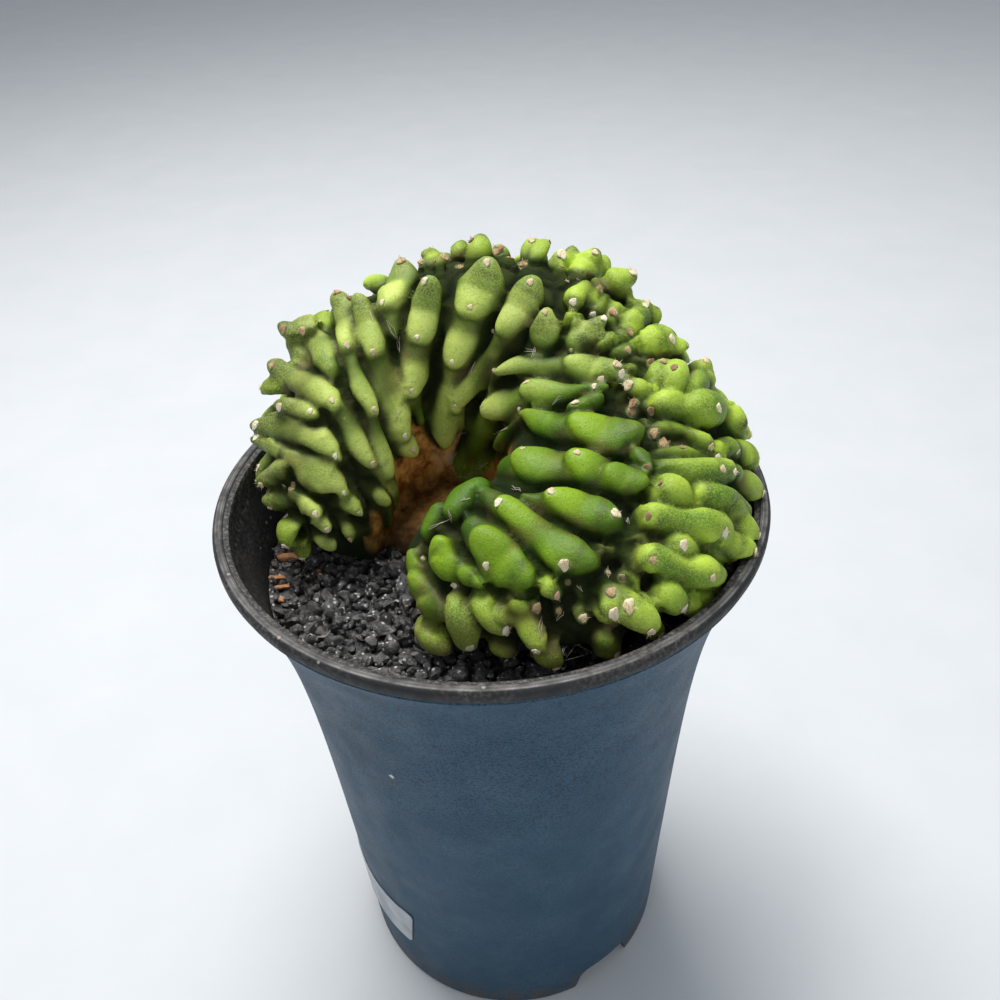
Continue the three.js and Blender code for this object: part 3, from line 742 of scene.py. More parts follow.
def spin_profile(name, profile, steps):
    """A single vertex is extruded along the profile, which is then spun round Z."""
    deselect_all()
    bpy.ops.mesh.primitive_plane_add(size=MM)
    piece = newest(name)
    edit_all(piece)
    bpy.ops.mesh.merge(type="CENTER")
    first = Vector((profile[0][0] * MM, 0, profile[0][1] * MM))
    bpy.ops.transform.translate(value=first)
    for (r0, z0), (r1, z1) in zip(profile, profile[1:]):
        step = ((r1 - r0) * MM, 0, (z1 - z0) * MM)
        bpy.ops.mesh.extrude_region_move(TRANSFORM_OT_translate={"value": step})
    bpy.ops.mesh.select_all(action="SELECT")
    bpy.ops.mesh.spin(steps=steps, angle=2 * math.pi, center=(0, 0, 0), axis=(0, 0, 1))
    bpy.ops.mesh.select_all(action="SELECT")
    bpy.ops.mesh.remove_doubles(threshold=0.005 * MM)
    bpy.ops.mesh.normals_make_consistent(inside=False)
    leave_edit()
    return piece


def notch_cutter(azimuth):
    """A block with slanted sides and a rounded top, through the foot at this azimuth."""
    deselect_all()
    bpy.ops.mesh.primitive_cube_add(size=MM, location=(0, 0, 0))
    cutter = newest("notch")
    edit_all(cutter)
    bpy.ops.transform.resize(value=NOTCH_BLOCK)
    bpy.ops.transform.translate(value=(0, -BASE_RADIUS * MM, 3 * MM))
    leave_edit()
    select_in_edit(cutter, lambda co: co.z > 5 * MM)
    bpy.ops.transform.resize(value=(NOTCH_TOP_SHARE, 1, 1))
    leave_edit()
    add_modifier(cutter, "BEVEL", width=NOTCH_ROUNDING * MM, segments=4, limit_method="ANGLE",
                 angle_limit=math.radians(60))
    points = coordinates(cutter)
    points[:, 2] = np.where(points[:, 2] < 1.5 * MM, points[:, 2] - 2 * MM, points[:, 2])
    turn = np.array(Matrix.Rotation(math.radians(azimuth + 90), 3, "Z"))
    move_points(cutter, points @ turn.T)
    return cutter


def drain_cutter(azimuth):
    deselect_all()
    place = Vector((DRAIN_RING * MM, 0, FLOOR_TOP * MM))
    place.rotate(Matrix.Rotation(math.radians(azimuth), 3, "Z"))
    bpy.ops.mesh.primitive_cylinder_add(
        vertices=40, radius=DRAIN_RADIUS * MM, depth=10 * MM, location=place)
    cutter = newest("drain")
    bpy.ops.object.transform_apply()
    return cutter


def make_pot(blue, black):
    pot = spin_profile("pot_shell", pot_profile(), 160)
    for cutter in [notch_cutter(a) for a in NOTCH_AZIMUTHS] + [drain_cutter(a) for a in DRAIN_AZIMUTHS]:
        add_modifier(pot, "BOOLEAN", operation="DIFFERENCE", object=cutter, solver="EXACT")
        discard(cutter)
    finish_piece(pot, "pot", "pot_plastic", blue, black)
    for face in pot.data.polygons:
        centre = face.center / MM
        radius = math.hypot(centre.x, centre.y)
        outer_skin = radius > wall_radius(centre.z) - 0.45 and centre.z < POT_HEIGHT - 2.6
        facing_out = face.normal.x * centre.x + face.normal.y * centre.y > 0.5 * radius
        face.material_index = 0 if outer_skin and facing_out else 1
    shade_smooth(pot, 38)
    return pot


def pot_blue_material():
    """Steel blue moulded plastic with a dark speckle, thicker towards the top, and dirt at the foot."""
    material, tree, shader = new_material("pot_blue", Specular_IOR_Level=0.3)
    coords = object_coords(tree)
    height = add_node(tree, "ShaderNodeSeparateXYZ", {"Vector": coords}).outputs["Z"]
    upper = ramp(tree, height, 45 * MM, 115 * MM)
    slow = noise(tree, coords, 45.0, 3.0)
    blue = mix(tree, ramp(tree, slow, 0.3, 0.7), srgb(48, 82, 104), srgb(54, 89, 112))
    blue = mix(tree, ramp(tree, height, 0.0, 90 * MM, 0.55, 0.0), blue, srgb(42, 68, 86))
    large = specked(tree, coords, 900.0, 0.62, 0.5)
    small = specked(tree, coords, 1900.0, 0.6, 0.6)
    specks = maths(tree, "MAXIMUM", large, times(tree, small, 0.7))
    sprayed = ramp(tree, noise(tree, coords, 2300.0, 2.0, 0.7), 0.46, 0.6)
    specks = maths(tree, "MAXIMUM", times(tree, specks, 0.7), sprayed)
    strength = ramp(tree, upper, 0.0, 1.0, 0.3, 0.72)
    blue = mix(tree, times(tree, specks, strength), blue, srgb(22, 34, 50))
    dirt = ramp(tree, height, 11 * MM, 0.0)
    dirt = times(tree, dirt, ramp(tree, noise(tree, coords, 180.0, 5.0), 0.38, 0.62))
    colour = mix(tree, times(tree, dirt, 0.75), blue, srgb(86, 70, 52))
    colour = dusted(tree, coords, colour, srgb(150, 165, 178), 90.0, 2200.0, 0.1)
    nick = add_node(tree, "ShaderNodeVectorMath", {0: coords, 1: NICK * MM}, operation="DISTANCE")
    ragged = times(tree, noise(tree, coords, 1500.0), 0.8 * MM)
    nick = maths(tree, "ADD", nick.outputs["Value"], ragged)
    colour = mix(tree, ramp(tree, nick, 1.2 * MM, 0.9 * MM), colour, srgb(206, 212, 214))
    rough = ramp(tree, noise(tree, coords, 120.0, 4.0), 0.3, 0.7, 0.5, 0.62)
    grain = maths(tree, "ADD", noise(tree, coords, 2400.0, 2.0), times(tree, specks, -0.35))
    feed(tree, shader, colour, rough, grain, 0.06)
    return material


def pot_black_material():
    """Black moulded plastic, dusty, scratched on the ledge inside the lip, and grey from wear in fine rings
    along its crown, where the grey is partly a painted highlight."""
    material, tree, shader = new_material("pot_black", Specular_IOR_Level=0.4)
    coords = object_coords(tree)
    parts = add_node(tree, "ShaderNodeSeparateXYZ", {"Vector": coords})
    flat = add_node(tree, "ShaderNodeCombineXYZ", {"X": parts.outputs["X"], "Y": parts.outputs["Y"]})
    radius = add_node(tree, "ShaderNodeVectorMath", {0: flat.outputs["Vector"]}, operation="LENGTH")
    radius = radius.outputs["Value"]
    top = ramp(tree, parts.outputs["Z"], (POT_HEIGHT - 0.5) * MM, (POT_HEIGHT - 0.2) * MM)
    # The crown's top is grey from wear and painted lighter with a highlight, in fine rings.
    crown = times(tree, band(tree, radius, LIP_CROWN), top)
    wear_and_highlight = times(tree, crown, ramp(tree, noise(tree, coords, 260.0, 5.0), 0.3, 0.65, 0.1, 1.0))
    turned = add_node(tree, "ShaderNodeCombineXYZ", {"X": radius, "Y": parts.outputs["Z"]})
    rings = ramp(tree, noise(tree, turned.outputs["Vector"], 5200.0, 3.0, 0.7), 0.4, 0.62, 0.25, 1.0)
    wear_and_highlight = times(tree, wear_and_highlight, rings)
    coal = mix(tree, noise(tree, coords, 400.0, 4.0), srgb(22, 22, 24), srgb(44, 44, 46))
    ledge = band(tree, radius, LIP_LEDGE)
    scratches = ramp(tree, noise(tree, coords, 1100.0, 4.0, 0.7), 0.46, 0.66)
    coal = mix(tree, times(tree, ledge, scratches), coal, srgb(98, 96, 94))
    colour = mix(tree, times(tree, wear_and_highlight, 0.85), coal, srgb(138, 136, 134))
    specks = specked(tree, coords, 520.0, 0.3, 0.2)
    colour = mix(tree, times(tree, specks, 0.7), colour, srgb(168, 156, 136))
    colour = dusted(tree, coords, colour, srgb(126, 120, 112), 70.0, 1300.0, 0.3)
    rough = maths(tree, "SUBTRACT", ramp(tree, noise(tree, coords, 300.0, 4.0), 0.3, 0.7, 0.5, 0.72),
                  times(tree, wear_and_highlight, 0.18))
    grain = noise(tree, coords, 1500.0, 3.0)
    feed(tree, shader, colour, rough, grain, 0.09)
    return material


# Label

def make_label(material):
    """A flat sticker with rounded corners is wrapped round the wall, its ends lifted by a hair."""
    deselect_all()
    bpy.ops.mesh.primitive_grid_add(x_subdivisions=72, y_subdivisions=18, size=1.0)
    label = newest("label_sticker")
    add_modifier(label, "SOLIDIFY", thickness=0.02, offset=0.0)
    points = coordinates(label)
    across = points[:, 0] + 0.5
    over = points[:, 1] + 0.5
    skin = points[:, 2] > 0
    width = math.radians(LABEL_TO - LABEL_FROM) * wall_radius(LABEL_BOTTOM)
    tall = LABEL_TOP - LABEL_BOTTOM
    from_end = np.minimum(across, 1 - across) * width
    from_side = np.minimum(over, 1 - over) * tall
    rounded = LABEL_CORNER - np.sqrt(np.maximum(LABEL_CORNER ** 2 - (LABEL_CORNER - from_end) ** 2, 0))
    inset = np.where(from_end < LABEL_CORNER, rounded, 0)
    over = np.where(from_side < tall / 2, 0.5 + (over - 0.5) * (1 - 2 * inset / tall), over)
    z = LABEL_BOTTOM + over * tall
    azimuth = LABEL_FROM + across * (LABEL_TO - LABEL_FROM - LABEL_LEAN * (1 - over))
    curl = LABEL_CURL * smoothstep(2.5, 0, from_end) * smoothstep(0.2, 0.9, over)
    radius = wall_radius(z) + LABEL_OFF_WALL + np.where(skin, LABEL_THICKNESS, 0) + curl
    turn = np.radians(azimuth)
    move_points(label, np.stack([radius * np.cos(turn), radius * np.sin(turn), z], 1) * MM)
    edit_all(label)
    bpy.ops.mesh.normals_make_consistent(inside=False)
    leave_edit()
    shade_smooth(label, 40)
    return finish_piece(label, "label", "sticker", material)


def label_material():
    material, tree, shader = new_material("silver_sticker", Metallic=0.35, Specular_IOR_Level=0.5)
    coords = object_coords(tree)
    cloudy = ramp(tree, noise(tree, coords, 150.0, 4.0), 0.3, 0.7)
    colour = mix(tree, cloudy, srgb(150, 156, 162), srgb(190, 194, 198))
    colour = dusted(tree, coords, colour, srgb(92, 92, 90), 110.0, 1700.0, 0.5)
    rough = ramp(tree, noise(tree, coords, 600.0, 3.0), 0.3, 0.7, 0.34, 0.5)
    feed(tree, shader, colour, rough, noise(tree, coords, 900.0, 2.0), 0.04)
    return material


# Crest

def crest_sections(azimuth):
    """The section table's columns at each azimuth, read off a smooth curve through its rows."""
    rows = SECTIONS
    count = len(rows)
    at = np.clip(np.asarray(azimuth, float), rows[0, 0], rows[-1, 0])
    i = np.clip(np.searchsorted(rows[:, 0], at) - 1, 0, count - 2)
    after = rows[np.minimum(np.arange(count) + 1, count - 1)]
    before = rows[np.maximum(np.arange(count) - 1, 0)]
    slope = (after - before) / (after[:, :1] - before[:, :1])
    span = (rows[i + 1, 0] - rows[i, 0])[..., None]
    t = (at - rows[i, 0])[..., None] / span
    s = 1 - t
    value = rows[i] * (1 + 2 * t) * s * s + rows[i + 1] * t * t * (3 - 2 * t)
    value = value + slope[i] * span * t * s * s - slope[i + 1] * span * t * t * s
    return np.moveaxis(value, -1, 0)


def crest_point(azimuth, angle, depth=0.0):
    """Points of the crest in millimetres, sunk below its surface by depth."""
    _, ring, centre, inward, outward, above, below, _ = crest_sections(azimuth)
    along = np.cos(np.radians(angle))
    up = np.sin(np.radians(angle))
    half_width = np.maximum(np.where(along > 0, inward, outward) - depth, 1)
    half_height = np.maximum(np.where(up > 0, above, below) - depth, 1)
    radius = ring - half_width * along
    turn = np.radians(azimuth)
    x = HOLLOW[0] + radius * np.cos(turn)
    y = HOLLOW[1] + radius * np.sin(turn)
    return np.stack([x, y, POT_HEIGHT + centre + half_height * up], -1)


def unit(vectors):
    return vectors / np.maximum(np.linalg.norm(vectors, axis=-1, keepdims=True), 1e-9)


def crest_normal(azimuth, angle):
    around = crest_point(azimuth + 0.5, angle) - crest_point(azimuth - 0.5, angle)
    over = crest_point(azimuth, angle + 0.5) - crest_point(azimuth, angle - 0.5)
    return unit(np.cross(over, around))


def crest_place(points):
    """Azimuth, section angle and depth below the crest's surface of points in millimetres."""
    azimuth = np.degrees(np.arctan2(points[:, 1] - HOLLOW[1], points[:, 0] - HOLLOW[0]))
    azimuth = np.where(azimuth < SECTIONS[0, 0] - 14, azimuth + 360, azimuth)
    _, ring, centre, inward, outward, above, below, edge = crest_sections(azimuth)
    radius = np.hypot(points[:, 0] - HOLLOW[0], points[:, 1] - HOLLOW[1])
    along = ring - radius
    up = points[:, 2] - POT_HEIGHT - centre
    across = along / np.where(along > 0, inward, outward)
    rise = up / np.where(up > 0, above, below)
    share = np.hypot(across, rise)
    reach = np.hypot(along, up)
    angle = np.degrees(np.arctan2(rise, across)) % 360
    angle = np.where(angle > 300, angle - 360, angle)
    return azimuth, angle, reach * (1 / np.maximum(share, 1e-6) - 1), edge


def through(rows, at):
    """Values on a smooth curve through evenly spaced rows, carried on straight beyond both ends."""
    rows = np.asarray(rows, float)
    last = len(rows) - 1
    slopes = np.gradient(rows, axis=0)
    held = np.clip(at, 0, last)
    i = np.clip(np.floor(held).astype(int), 0, last - 1)
    t = (held - i)[:, None]
    s = 1 - t
    value = rows[i] * (1 + 2 * t) * s * s + rows[i + 1] * t * t * (3 - 2 * t)
    value = value + slopes[i] * t * s * s - slopes[i + 1] * t * t * s
    beyond = (at - held)[:, None]
    return value + beyond * np.where(beyond < 0, slopes[0], slopes[last])


class Course:
    """The line of a rib or pod through stations: its points, the ways up there and its half widths."""

    def __init__(self, points, normals, widths):
        last = len(points) - 1
        at = np.linspace(-0.8, last + 0.8, 30 * (last + 2))
        self.line = through(points, at)
        self.normals = unit(through(normals, np.clip(at, 0, last)))
        self.girths = np.maximum(through(np.array(widths)[:, None], np.clip(at, 0, last))[:, 0], 0.7)
        self.headings = unit(np.gradient(self.line, axis=0))
        steps = np.linalg.norm(np.diff(self.line, axis=0), axis=1)
        self.arcs = np.concatenate([[0], np.cumsum(steps)])
        self.stations = np.interp(np.arange(last + 1), at, self.arcs)

    def width(self, along):
        return np.interp(along, self.arcs, self.girths)

    def read(self, table, along):
        return np.stack([np.interp(along, self.arcs, table[:, k]) for k in range(3)], -1)

    def lay(self, along, across, up):
        """Points at these distances along the line, across it and above it, and the ways there."""
        here = self.read(self.line, along)
        ahead = unit(self.read(self.headings, along))
        normal = self.read(self.normals, along)
        normal = unit(normal - ahead * (normal * ahead).sum(-1, keepdims=True))
        side = np.cross(normal, ahead)
        return here + side * across[:, None] + normal * up[:, None], ahead, side, normal


# The photograph's camera

def camera_axes():
    """The camera's right, up and backward ways."""
    tilt = math.radians(CAMERA_ELEVATION)
    roll = math.radians(CAMERA_ROLL)
    back = np.array([0, -math.cos(tilt), math.sin(tilt)])
    up = np.array([0, math.sin(tilt), math.cos(tilt)])
    right = np.array([1.0, 0, 0])
    return (right * math.cos(roll) + up * math.sin(roll),
            up * math.cos(roll) - right * math.sin(roll), back)


def camera_ray(column, row):
    """The way from the camera through a pixel, one unit deep along the view."""
    right, up, back = camera_axes()
    half = PHOTO_SIZE / 2
    return right * (column - half) / FOCAL_PIXELS - up * (row - half) / FOCAL_PIXELS - back


def cast(surface, column, row):
    """Where a pixel's ray meets a surface or passes it closest, the way up there and its view depth."""
    ray = camera_ray(column, row)
    eye = np.array(CAMERA_PLACE)
    way = Vector(unit(ray))
    hit, normal, _, distance = surface.ray_cast(Vector(eye * MM), way)
    if hit is None:
        reaches = np.linspace(NEAREST_LOOK, FARTHEST_LOOK, 120)
        near = [surface.find_nearest(Vector(eye * MM) + way * reach * MM) for reach in reaches]
        best = min(range(len(near)), key=lambda i: near[i][3])
        normal = near[best][1]
        distance = reaches[best] * MM
    depth = distance / MM / np.linalg.norm(ray)
    return eye + ray * depth, np.array(normal), depth


def seen_course(surface, stations, push, fullness, stand=0.0):
    """The course through traced stations, widened by fullness and moved away from the camera by push.

    It stands above the surface by this share of its width, each point still on its pixel's ray."""
    points = []
    normals = []
    widths = []
    for column, row, half_width, *_ in stations:
        point, normal, depth = cast(surface, column, row)
        ray = camera_ray(column, row)
        width = fullness * half_width * depth / FOCAL_PIXELS
        facing = -float(unit(ray) @ normal)
        if facing > EDGE_ON:
            point = point - unit(ray) * stand * width / max(facing, 0.5)
        points.append(point + ray * push)
        normals.append(normal)
        widths.append(width)
    return Course(points, normals, widths)


def descend(points, normals, widths, steps):
    """Carries a course on down the wall of the hollow, where the photograph doesn't see it."""
    azimuth, angle, _, _ = crest_place(points[-1:])
    last_width = widths[-1]
    for step in range(1, steps + 1):
        lower = angle - DESCENT * step
        points = np.concatenate([points, crest_point(azimuth, lower)])
        normals = np.concatenate([normals, crest_normal(azimuth, lower)])
        widths = np.append(widths, max(last_width * (1 - 0.2 * step), 1.2))
    return points, normals, widths


def model_tubercle(name, rings, tip_lean):
    """A sphere with its poles on X is drawn out ring by ring into a tubercle with an overhanging chin.

    A ring that is done is set aside along X, so that it isn't selected again."""
    deselect_all()
    bpy.ops.mesh.primitive_uv_sphere_add(
        segments=TUBERCLE_SIDES, ring_count=len(rings) + 1, radius=1.0, rotation=(0, math.pi / 2, 0))
    piece = newest(name)
    bpy.ops.object.transform_apply()
    places = sorted({round(v.co.x, 4) for v in piece.data.vertices})[1:-1]
    for place, (x, half_width, top, underside) in zip(places, rings):
        select_in_edit(piece, lambda co, at=place: abs(co.x - at) < 0.001)
        ring_radius = math.sqrt(1 - place * place)
        tall = (top - underside) / 2
        middle = (top + underside) / 2
        bpy.ops.transform.resize(
            value=(1, half_width / ring_radius, tall / ring_radius), center_override=(place, 0, 0))
        bpy.ops.transform.translate(value=(x - place + SET_ASIDE, 0, middle))
        leave_edit()
    for end, ring, beyond in ((-1, rings[0], -0.5), (1, rings[-1], 0.3)):
        middle = (ring[2] + ring[3]) / 2
        select_in_edit(piece, lambda co, at=end: abs(co.x - at) < 0.001)
        bpy.ops.transform.translate(value=(ring[0] + beyond - end + SET_ASIDE, 0, middle))
        leave_edit()
    points = coordinates(piece)
    points[:, 0] -= SET_ASIDE
    forward = smoothstep(-3.5, 0.5, points[:, 0])
    points[:, 0] += tip_lean * forward * (points[:, 2] - points[:, 2].mean()) * 0.5
    move_points(piece, points)
    return piece


def model_bar():
    """A sphere with its poles on X becomes a bar, one unit long and in radius, rounded when laid."""
    deselect_all()
    bpy.ops.mesh.primitive_uv_sphere_add(
        segments=16, ring_count=56, radius=1.0, rotation=(0, math.pi / 2, 0))
    piece = newest("bar")
    bpy.ops.object.transform_apply()
    points = coordinates(piece)
    girth = np.hypot(points[:, 1], points[:, 2])
    points[:, 1:] /= np.maximum(girth, 1e-4)[:, None]
    points[:, 0] = np.arccos(np.clip(-points[:, 0], -1, 1)) / math.pi
    move_points(piece, points)
    return piece


def lay_tubercle(model, course, start, tip, size, lift, sway=0.0, stand=0.0):
    """A copy of the tubercle, drawn out to reach from start to its tip and bent to the rib's line.

    Where start lies beyond the tip, the tubercle is turned round. Its tip stands up by stand."""
    made = copy_of(model, "tubercle")
    x, y, z = coordinates(made).T
    hand = 1 if tip > start else -1
    girth = float(course.width(tip - 2.5 * hand)) / TUBERCLE_HALF_WIDTH
    full = size * girth ** 0.6
    reach = 1.14 * abs(tip - start) / TAIL_REFERENCE
    stretch = full + (reach - full) * smoothstep(1.0, 8.5, -x)
    along = tip + hand * x * stretch
    across = hand * y * size * course.width(along) / TUBERCLE_HALF_WIDTH + sway * smoothstep(-9, -1, x)
    up = z * full + lift + stand * smoothstep(-9, 0.5, x)
    points, _, _, _ = course.lay(along, across, up)
    move_points(made, points * MM)
    return made


def lay_bar(model, course, first, last, share, centre, height, point=1.0):
    """A copy of the bar with rounded ends along a course, its middle at centre and its crown height above.

    Its last end is drawn out to a blunt point, as many times longer than a round one. A height below
    ROUND_BELOW is a share of the half width there, and a larger one is in millimetres."""
    made = copy_of(model, "bar")
    x, y, z = coordinates(made).T
    length = last - first
    along = first + length * x
    rounding = np.ones(len(x))
    for place, gap, drawn in ((first, x, 1.0), (last, 1 - x, point)):
        cap = min(drawn * float(course.width(place)) / length, 0.5 * drawn)
        rounding *= (1 - np.clip(1 - gap / cap, 0, 1) ** 2) ** (0.5 * drawn ** 0.5)
    half = share * course.width(along) * rounding
    tall = height * course.width(along) if height < ROUND_BELOW else height
    points, _, _, _ = course.lay(along, y * half, centre + z * tall * rounding)
    move_points(made, points * MM)
    return made


def valley(beyond_edge):
    """How far the skin drops below the crest's surface just outside the growing edge."""
    return VALLEY_DEPTH * smoothstep(-6, 2, beyond_edge) * smoothstep(VALLEY_WIDTH, 4, beyond_edge)


def wrap_grid(name, place, columns, rows):
    """A grid wrapped round the curl of the crest, its points at place(azimuth, angle, growing edge)."""
    deselect_all()
    bpy.ops.mesh.primitive_grid_add(x_subdivisions=columns, y_subdivisions=rows, size=1.0)
    wrap = newest(name)
    x, y, _ = coordinates(wrap).T
    azimuth = SECTIONS[0, 0] + (x + 0.5) * (SECTIONS[-1, 0] - SECTIONS[0, 0])
    angle = (y + 0.5) * 360
    edge = crest_sections(azimuth)[7]
    move_points(wrap, place(azimuth, angle, edge) * MM)
    edit_all(wrap)
    bpy.ops.mesh.remove_doubles(threshold=0.01 * MM)
    bpy.ops.mesh.select_all(action="DESELECT")
    bpy.ops.mesh.select_non_manifold()
    bpy.ops.mesh.fill_holes(sides=0)
    bpy.ops.mesh.select_all(action="SELECT")
    bpy.ops.mesh.normals_make_consistent(inside=False)
    leave_edit()
    return wrap


def core_place(azimuth, angle, edge):
    """The body under the ribs. Below the hollow's narrowest part it goes straight down as a corky wall."""
    outer = smoothstep(-8, 4, angle - edge) * smoothstep(290, 250, angle)
    depth = CORE_INNER_DEPTH + (CORE_OUTER_DEPTH - CORE_INNER_DEPTH) * outer + 0.3 * valley(angle - edge)
    upright = (angle > 275) & (angle < CORK_TOP)
    lumps = 0.5 * np.sin(0.31 * azimuth + 0.05 * angle) + 0.4 * np.sin(0.83 * azimuth - 0.16 * angle)
    points = crest_point(azimuth, angle, depth)
    lumps *= smoothstep(CORK_TOP, 330, angle)
    wall = crest_point(azimuth, np.full(len(angle), CORK_TOP), depth + lumps)
    points[:, :2] = np.where(upright[:, None], wall[:, :2], points[:, :2])
    return points


def surface_of(piece):
    return BVHTree.FromObject(piece, bpy.context.evaluated_depsgraph_get())


def soil_height(x):
    return POT_HEIGHT - SOIL_DEPTH + SOIL_SLOPE * x


def make_foot():
    """The corky foot that the crest stands on, seen through the hollow."""
    deselect_all()
    bottom = POT_HEIGHT - SOIL_DEPTH - 5
    bpy.ops.mesh.primitive_uv_sphere_add(segments=48, ring_count=30, radius=1.0)
    foot = newest("foot")
    points = coordinates(foot)
    rise = (points[:, 2] + 1) / 2
    turn = np.arctan2(points[:, 1], points[:, 0])
    radius = np.hypot(points[:, 0], points[:, 1]) * FOOT_RADIUS
    radius *= 1 + 0.07 * np.sin(5 * turn + 1.3) + 0.05 * np.sin(11 * turn + 4 * rise)
    points[:, 0] = FOOT_X + radius * np.cos(turn)
    points[:, 1] = FOOT_Y + radius * np.sin(turn)
    points[:, 2] = bottom + rise * (POT_HEIGHT + FOOT_TOP - bottom)
    move_points(foot, points * MM)
    return foot


class Tip:
    """The end of a tubercle: its place, the ways ahead, aside and up there, and where its areole looks."""

    def __init__(self, course, arc, up, kind):
        zero = np.zeros(1)
        place, ahead, side, normal = course.lay(np.array([arc]), zero, zero + up)
        self.place = place[0]
        self.ahead = ahead[0]
        self.side = side[0]
        self.normal = normal[0]
        lean = math.radians(AREOLE_LEAN[kind])
        self.facing = unit(self.normal * math.cos(lean) + self.ahead * math.sin(lean))
        self.kind = kind


def grow_seen_rib(surface, stations, models, chance):
    """One traced rib: a bar along it, a blunt head, and a tubercle for each overhanging chin."""
    tubercle, bar = models
    course = seen_course(surface, stations, 0.0, RIB_FULLNESS)
    azimuth, angle, _, _ = crest_place(course.read(course.line, course.stations[[0, -1]]))
    front = float(smoothstep(15, -20, azimuth[0]))
    if angle[1] < LOWEST_SEEN:
        steps = int(np.clip((angle[1] + 20) // DESCENT, 0, 4))
        at = course.stations
        line, normals, widths = descend(course.read(course.line, at), course.read(course.normals, at),
                                        course.width(at), steps)
        course = Course(line, normals, widths)
    marks = [(float(arc), station[3]) for arc, station in zip(course.stations, stations) if station[3:]]
    pieces = []
    tips = []
    start = float(course.stations[0])
    for i, (arc, mark) in enumerate(marks):
        size = chance.uniform(0.97, 1.03)
        if mark == HEAD:
            following = marks[i + 1][0] if i + 1 < len(marks) else float(course.stations[-1])
            tail = arc + 0.8 * (following - arc)
            pieces.append(lay_tubercle(tubercle, course, tail, arc, size, 0.0, 0.0, 0.5 * (1 - front)))
            tips.append(Tip(course, arc, 0.5, "head"))
        else:
            start = min(start, arc - 3)
            pieces.append(lay_tubercle(tubercle, course, start, arc, size, chance.uniform(-0.1, 0.1)))
            tips.append(Tip(course, arc + 0.3, 0.3, "inner"))
        start = arc
    first = float(course.stations[0] - 0.3 * course.width(course.stations[0]))
    crown = (-0.5 if CHIN in [mark for _, mark in marks] else 0.3) + 0.1 * front
    pieces.append(lay_bar(bar, course, first, float(course.stations[-1]), 0.98, crown - RIB_THICKNESS,
                          RIB_THICKNESS))
    return course, pieces, tips


def grow_seen_pod(surface, stations, push, bar):
    """One traced pod: a bar with a blunt point. A pushed one stands further back on its pixels' rays."""
    course = seen_course(surface, stations, push, POD_FULLNESS, 0.0 if push else POD_STAND)
    ends = course.stations[[0, -1]]
    first = float(ends[0] - 0.5 * course.width(ends[0]))
    last = float(ends[1] + 0.5 * course.width(ends[1]))
    made = lay_bar(bar, course, first, last, 1.0, 0.0, 1.0, POD_POINT)
    tip = Tip(course, float(ends[1]), float(course.width(ends[1])), "outer")
    return course, made, tip


def rule_courses():
    """Courses of the pods that the photograph doesn't show, each as wide as its neighbours let it be."""
    shares = np.linspace(0, 1, 7)
    lines = []
    for edge_azimuth, end_azimuth, tips in OUTER_RIBS:
        start = float(crest_sections(edge_azimuth)[7]) - 6
        azimuth = edge_azimuth + (end_azimuth - edge_azimuth) * shares
        angle = start + (tips[-1] - start) * shares
        lines.append((crest_point(azimuth, angle), crest_normal(azimuth, angle), angle))
    courses = []
    for i, (line, normals, angles) in enumerate(lines):
        beside = [lines[k][0] for k in (i - 1, i + 1) if 0 <= k < len(lines)]
        gap = np.mean([np.linalg.norm(line - other, axis=1) for other in beside], axis=0)
        course = Course(line, normals, np.clip(0.54 * gap, 2.3, 3.7))
        tips = np.interp(OUTER_RIBS[i][2], angles, course.stations)
        courses.append((course, tips))
    return courses


class Lines:
    """Samples along the middle of every rib and pod: points, half widths, owners, and pod or not."""

    def __init__(self):
        self.points = np.empty((0, 3))
        self.widths = np.empty(0)
        self.owners = np.empty(0, int)
        self.pods = np.empty(0)
        self.count = 0

    def add(self, course, first, last, pod):
        along = np.linspace(first, last, max(int(last - first), 2) + 1)
        self.points = np.concatenate([self.points, course.read(course.line, along)])
        self.widths = np.concatenate([self.widths, course.width(along)])
        self.owners = np.concatenate([self.owners, np.full(len(along), self.count)])
        self.pods = np.concatenate([self.pods, np.full(len(along), float(pod))])
        self.count += 1

    def is_free(self, place, width):
        """Whether nothing laid so far lies where a pod of that half width would stand."""
        distance = np.linalg.norm(self.points - place, axis=1)
        return bool((distance > 0.75 * self.widths + 0.7 * width).all())

    def nearest_two(self, points):
        """For each point: the distances to the sides of the nearest line and of the next, whether the
        nearest is a pod, how far apart these two lines run, in millimetres and against their widths, and
        the nearest line's half width."""
        found = np.empty((6, len(points)))
        squares = (self.points ** 2).sum(1)
        for begin in range(0, len(points), 4000):
            some = points[begin:begin + 4000]
            rows = np.arange(len(some))
            gaps = (some ** 2).sum(1)[:, None] + squares - 2 * some @ self.points.T
            gaps = np.sqrt(np.maximum(gaps, 0)) - self.widths
            one = gaps.argmin(1)
            first = gaps[rows, one]
            gaps[self.owners[one][:, None] == self.owners] = np.inf
            two = gaps.argmin(1)
            apart = np.linalg.norm(self.points[one] - self.points[two], axis=1)
            spread = apart / (self.widths[one] + self.widths[two])
            second = gaps[rows, two]
            found[:, begin:begin + 4000] = first, second, self.pods[one], apart, spread, self.widths[one]
        return found


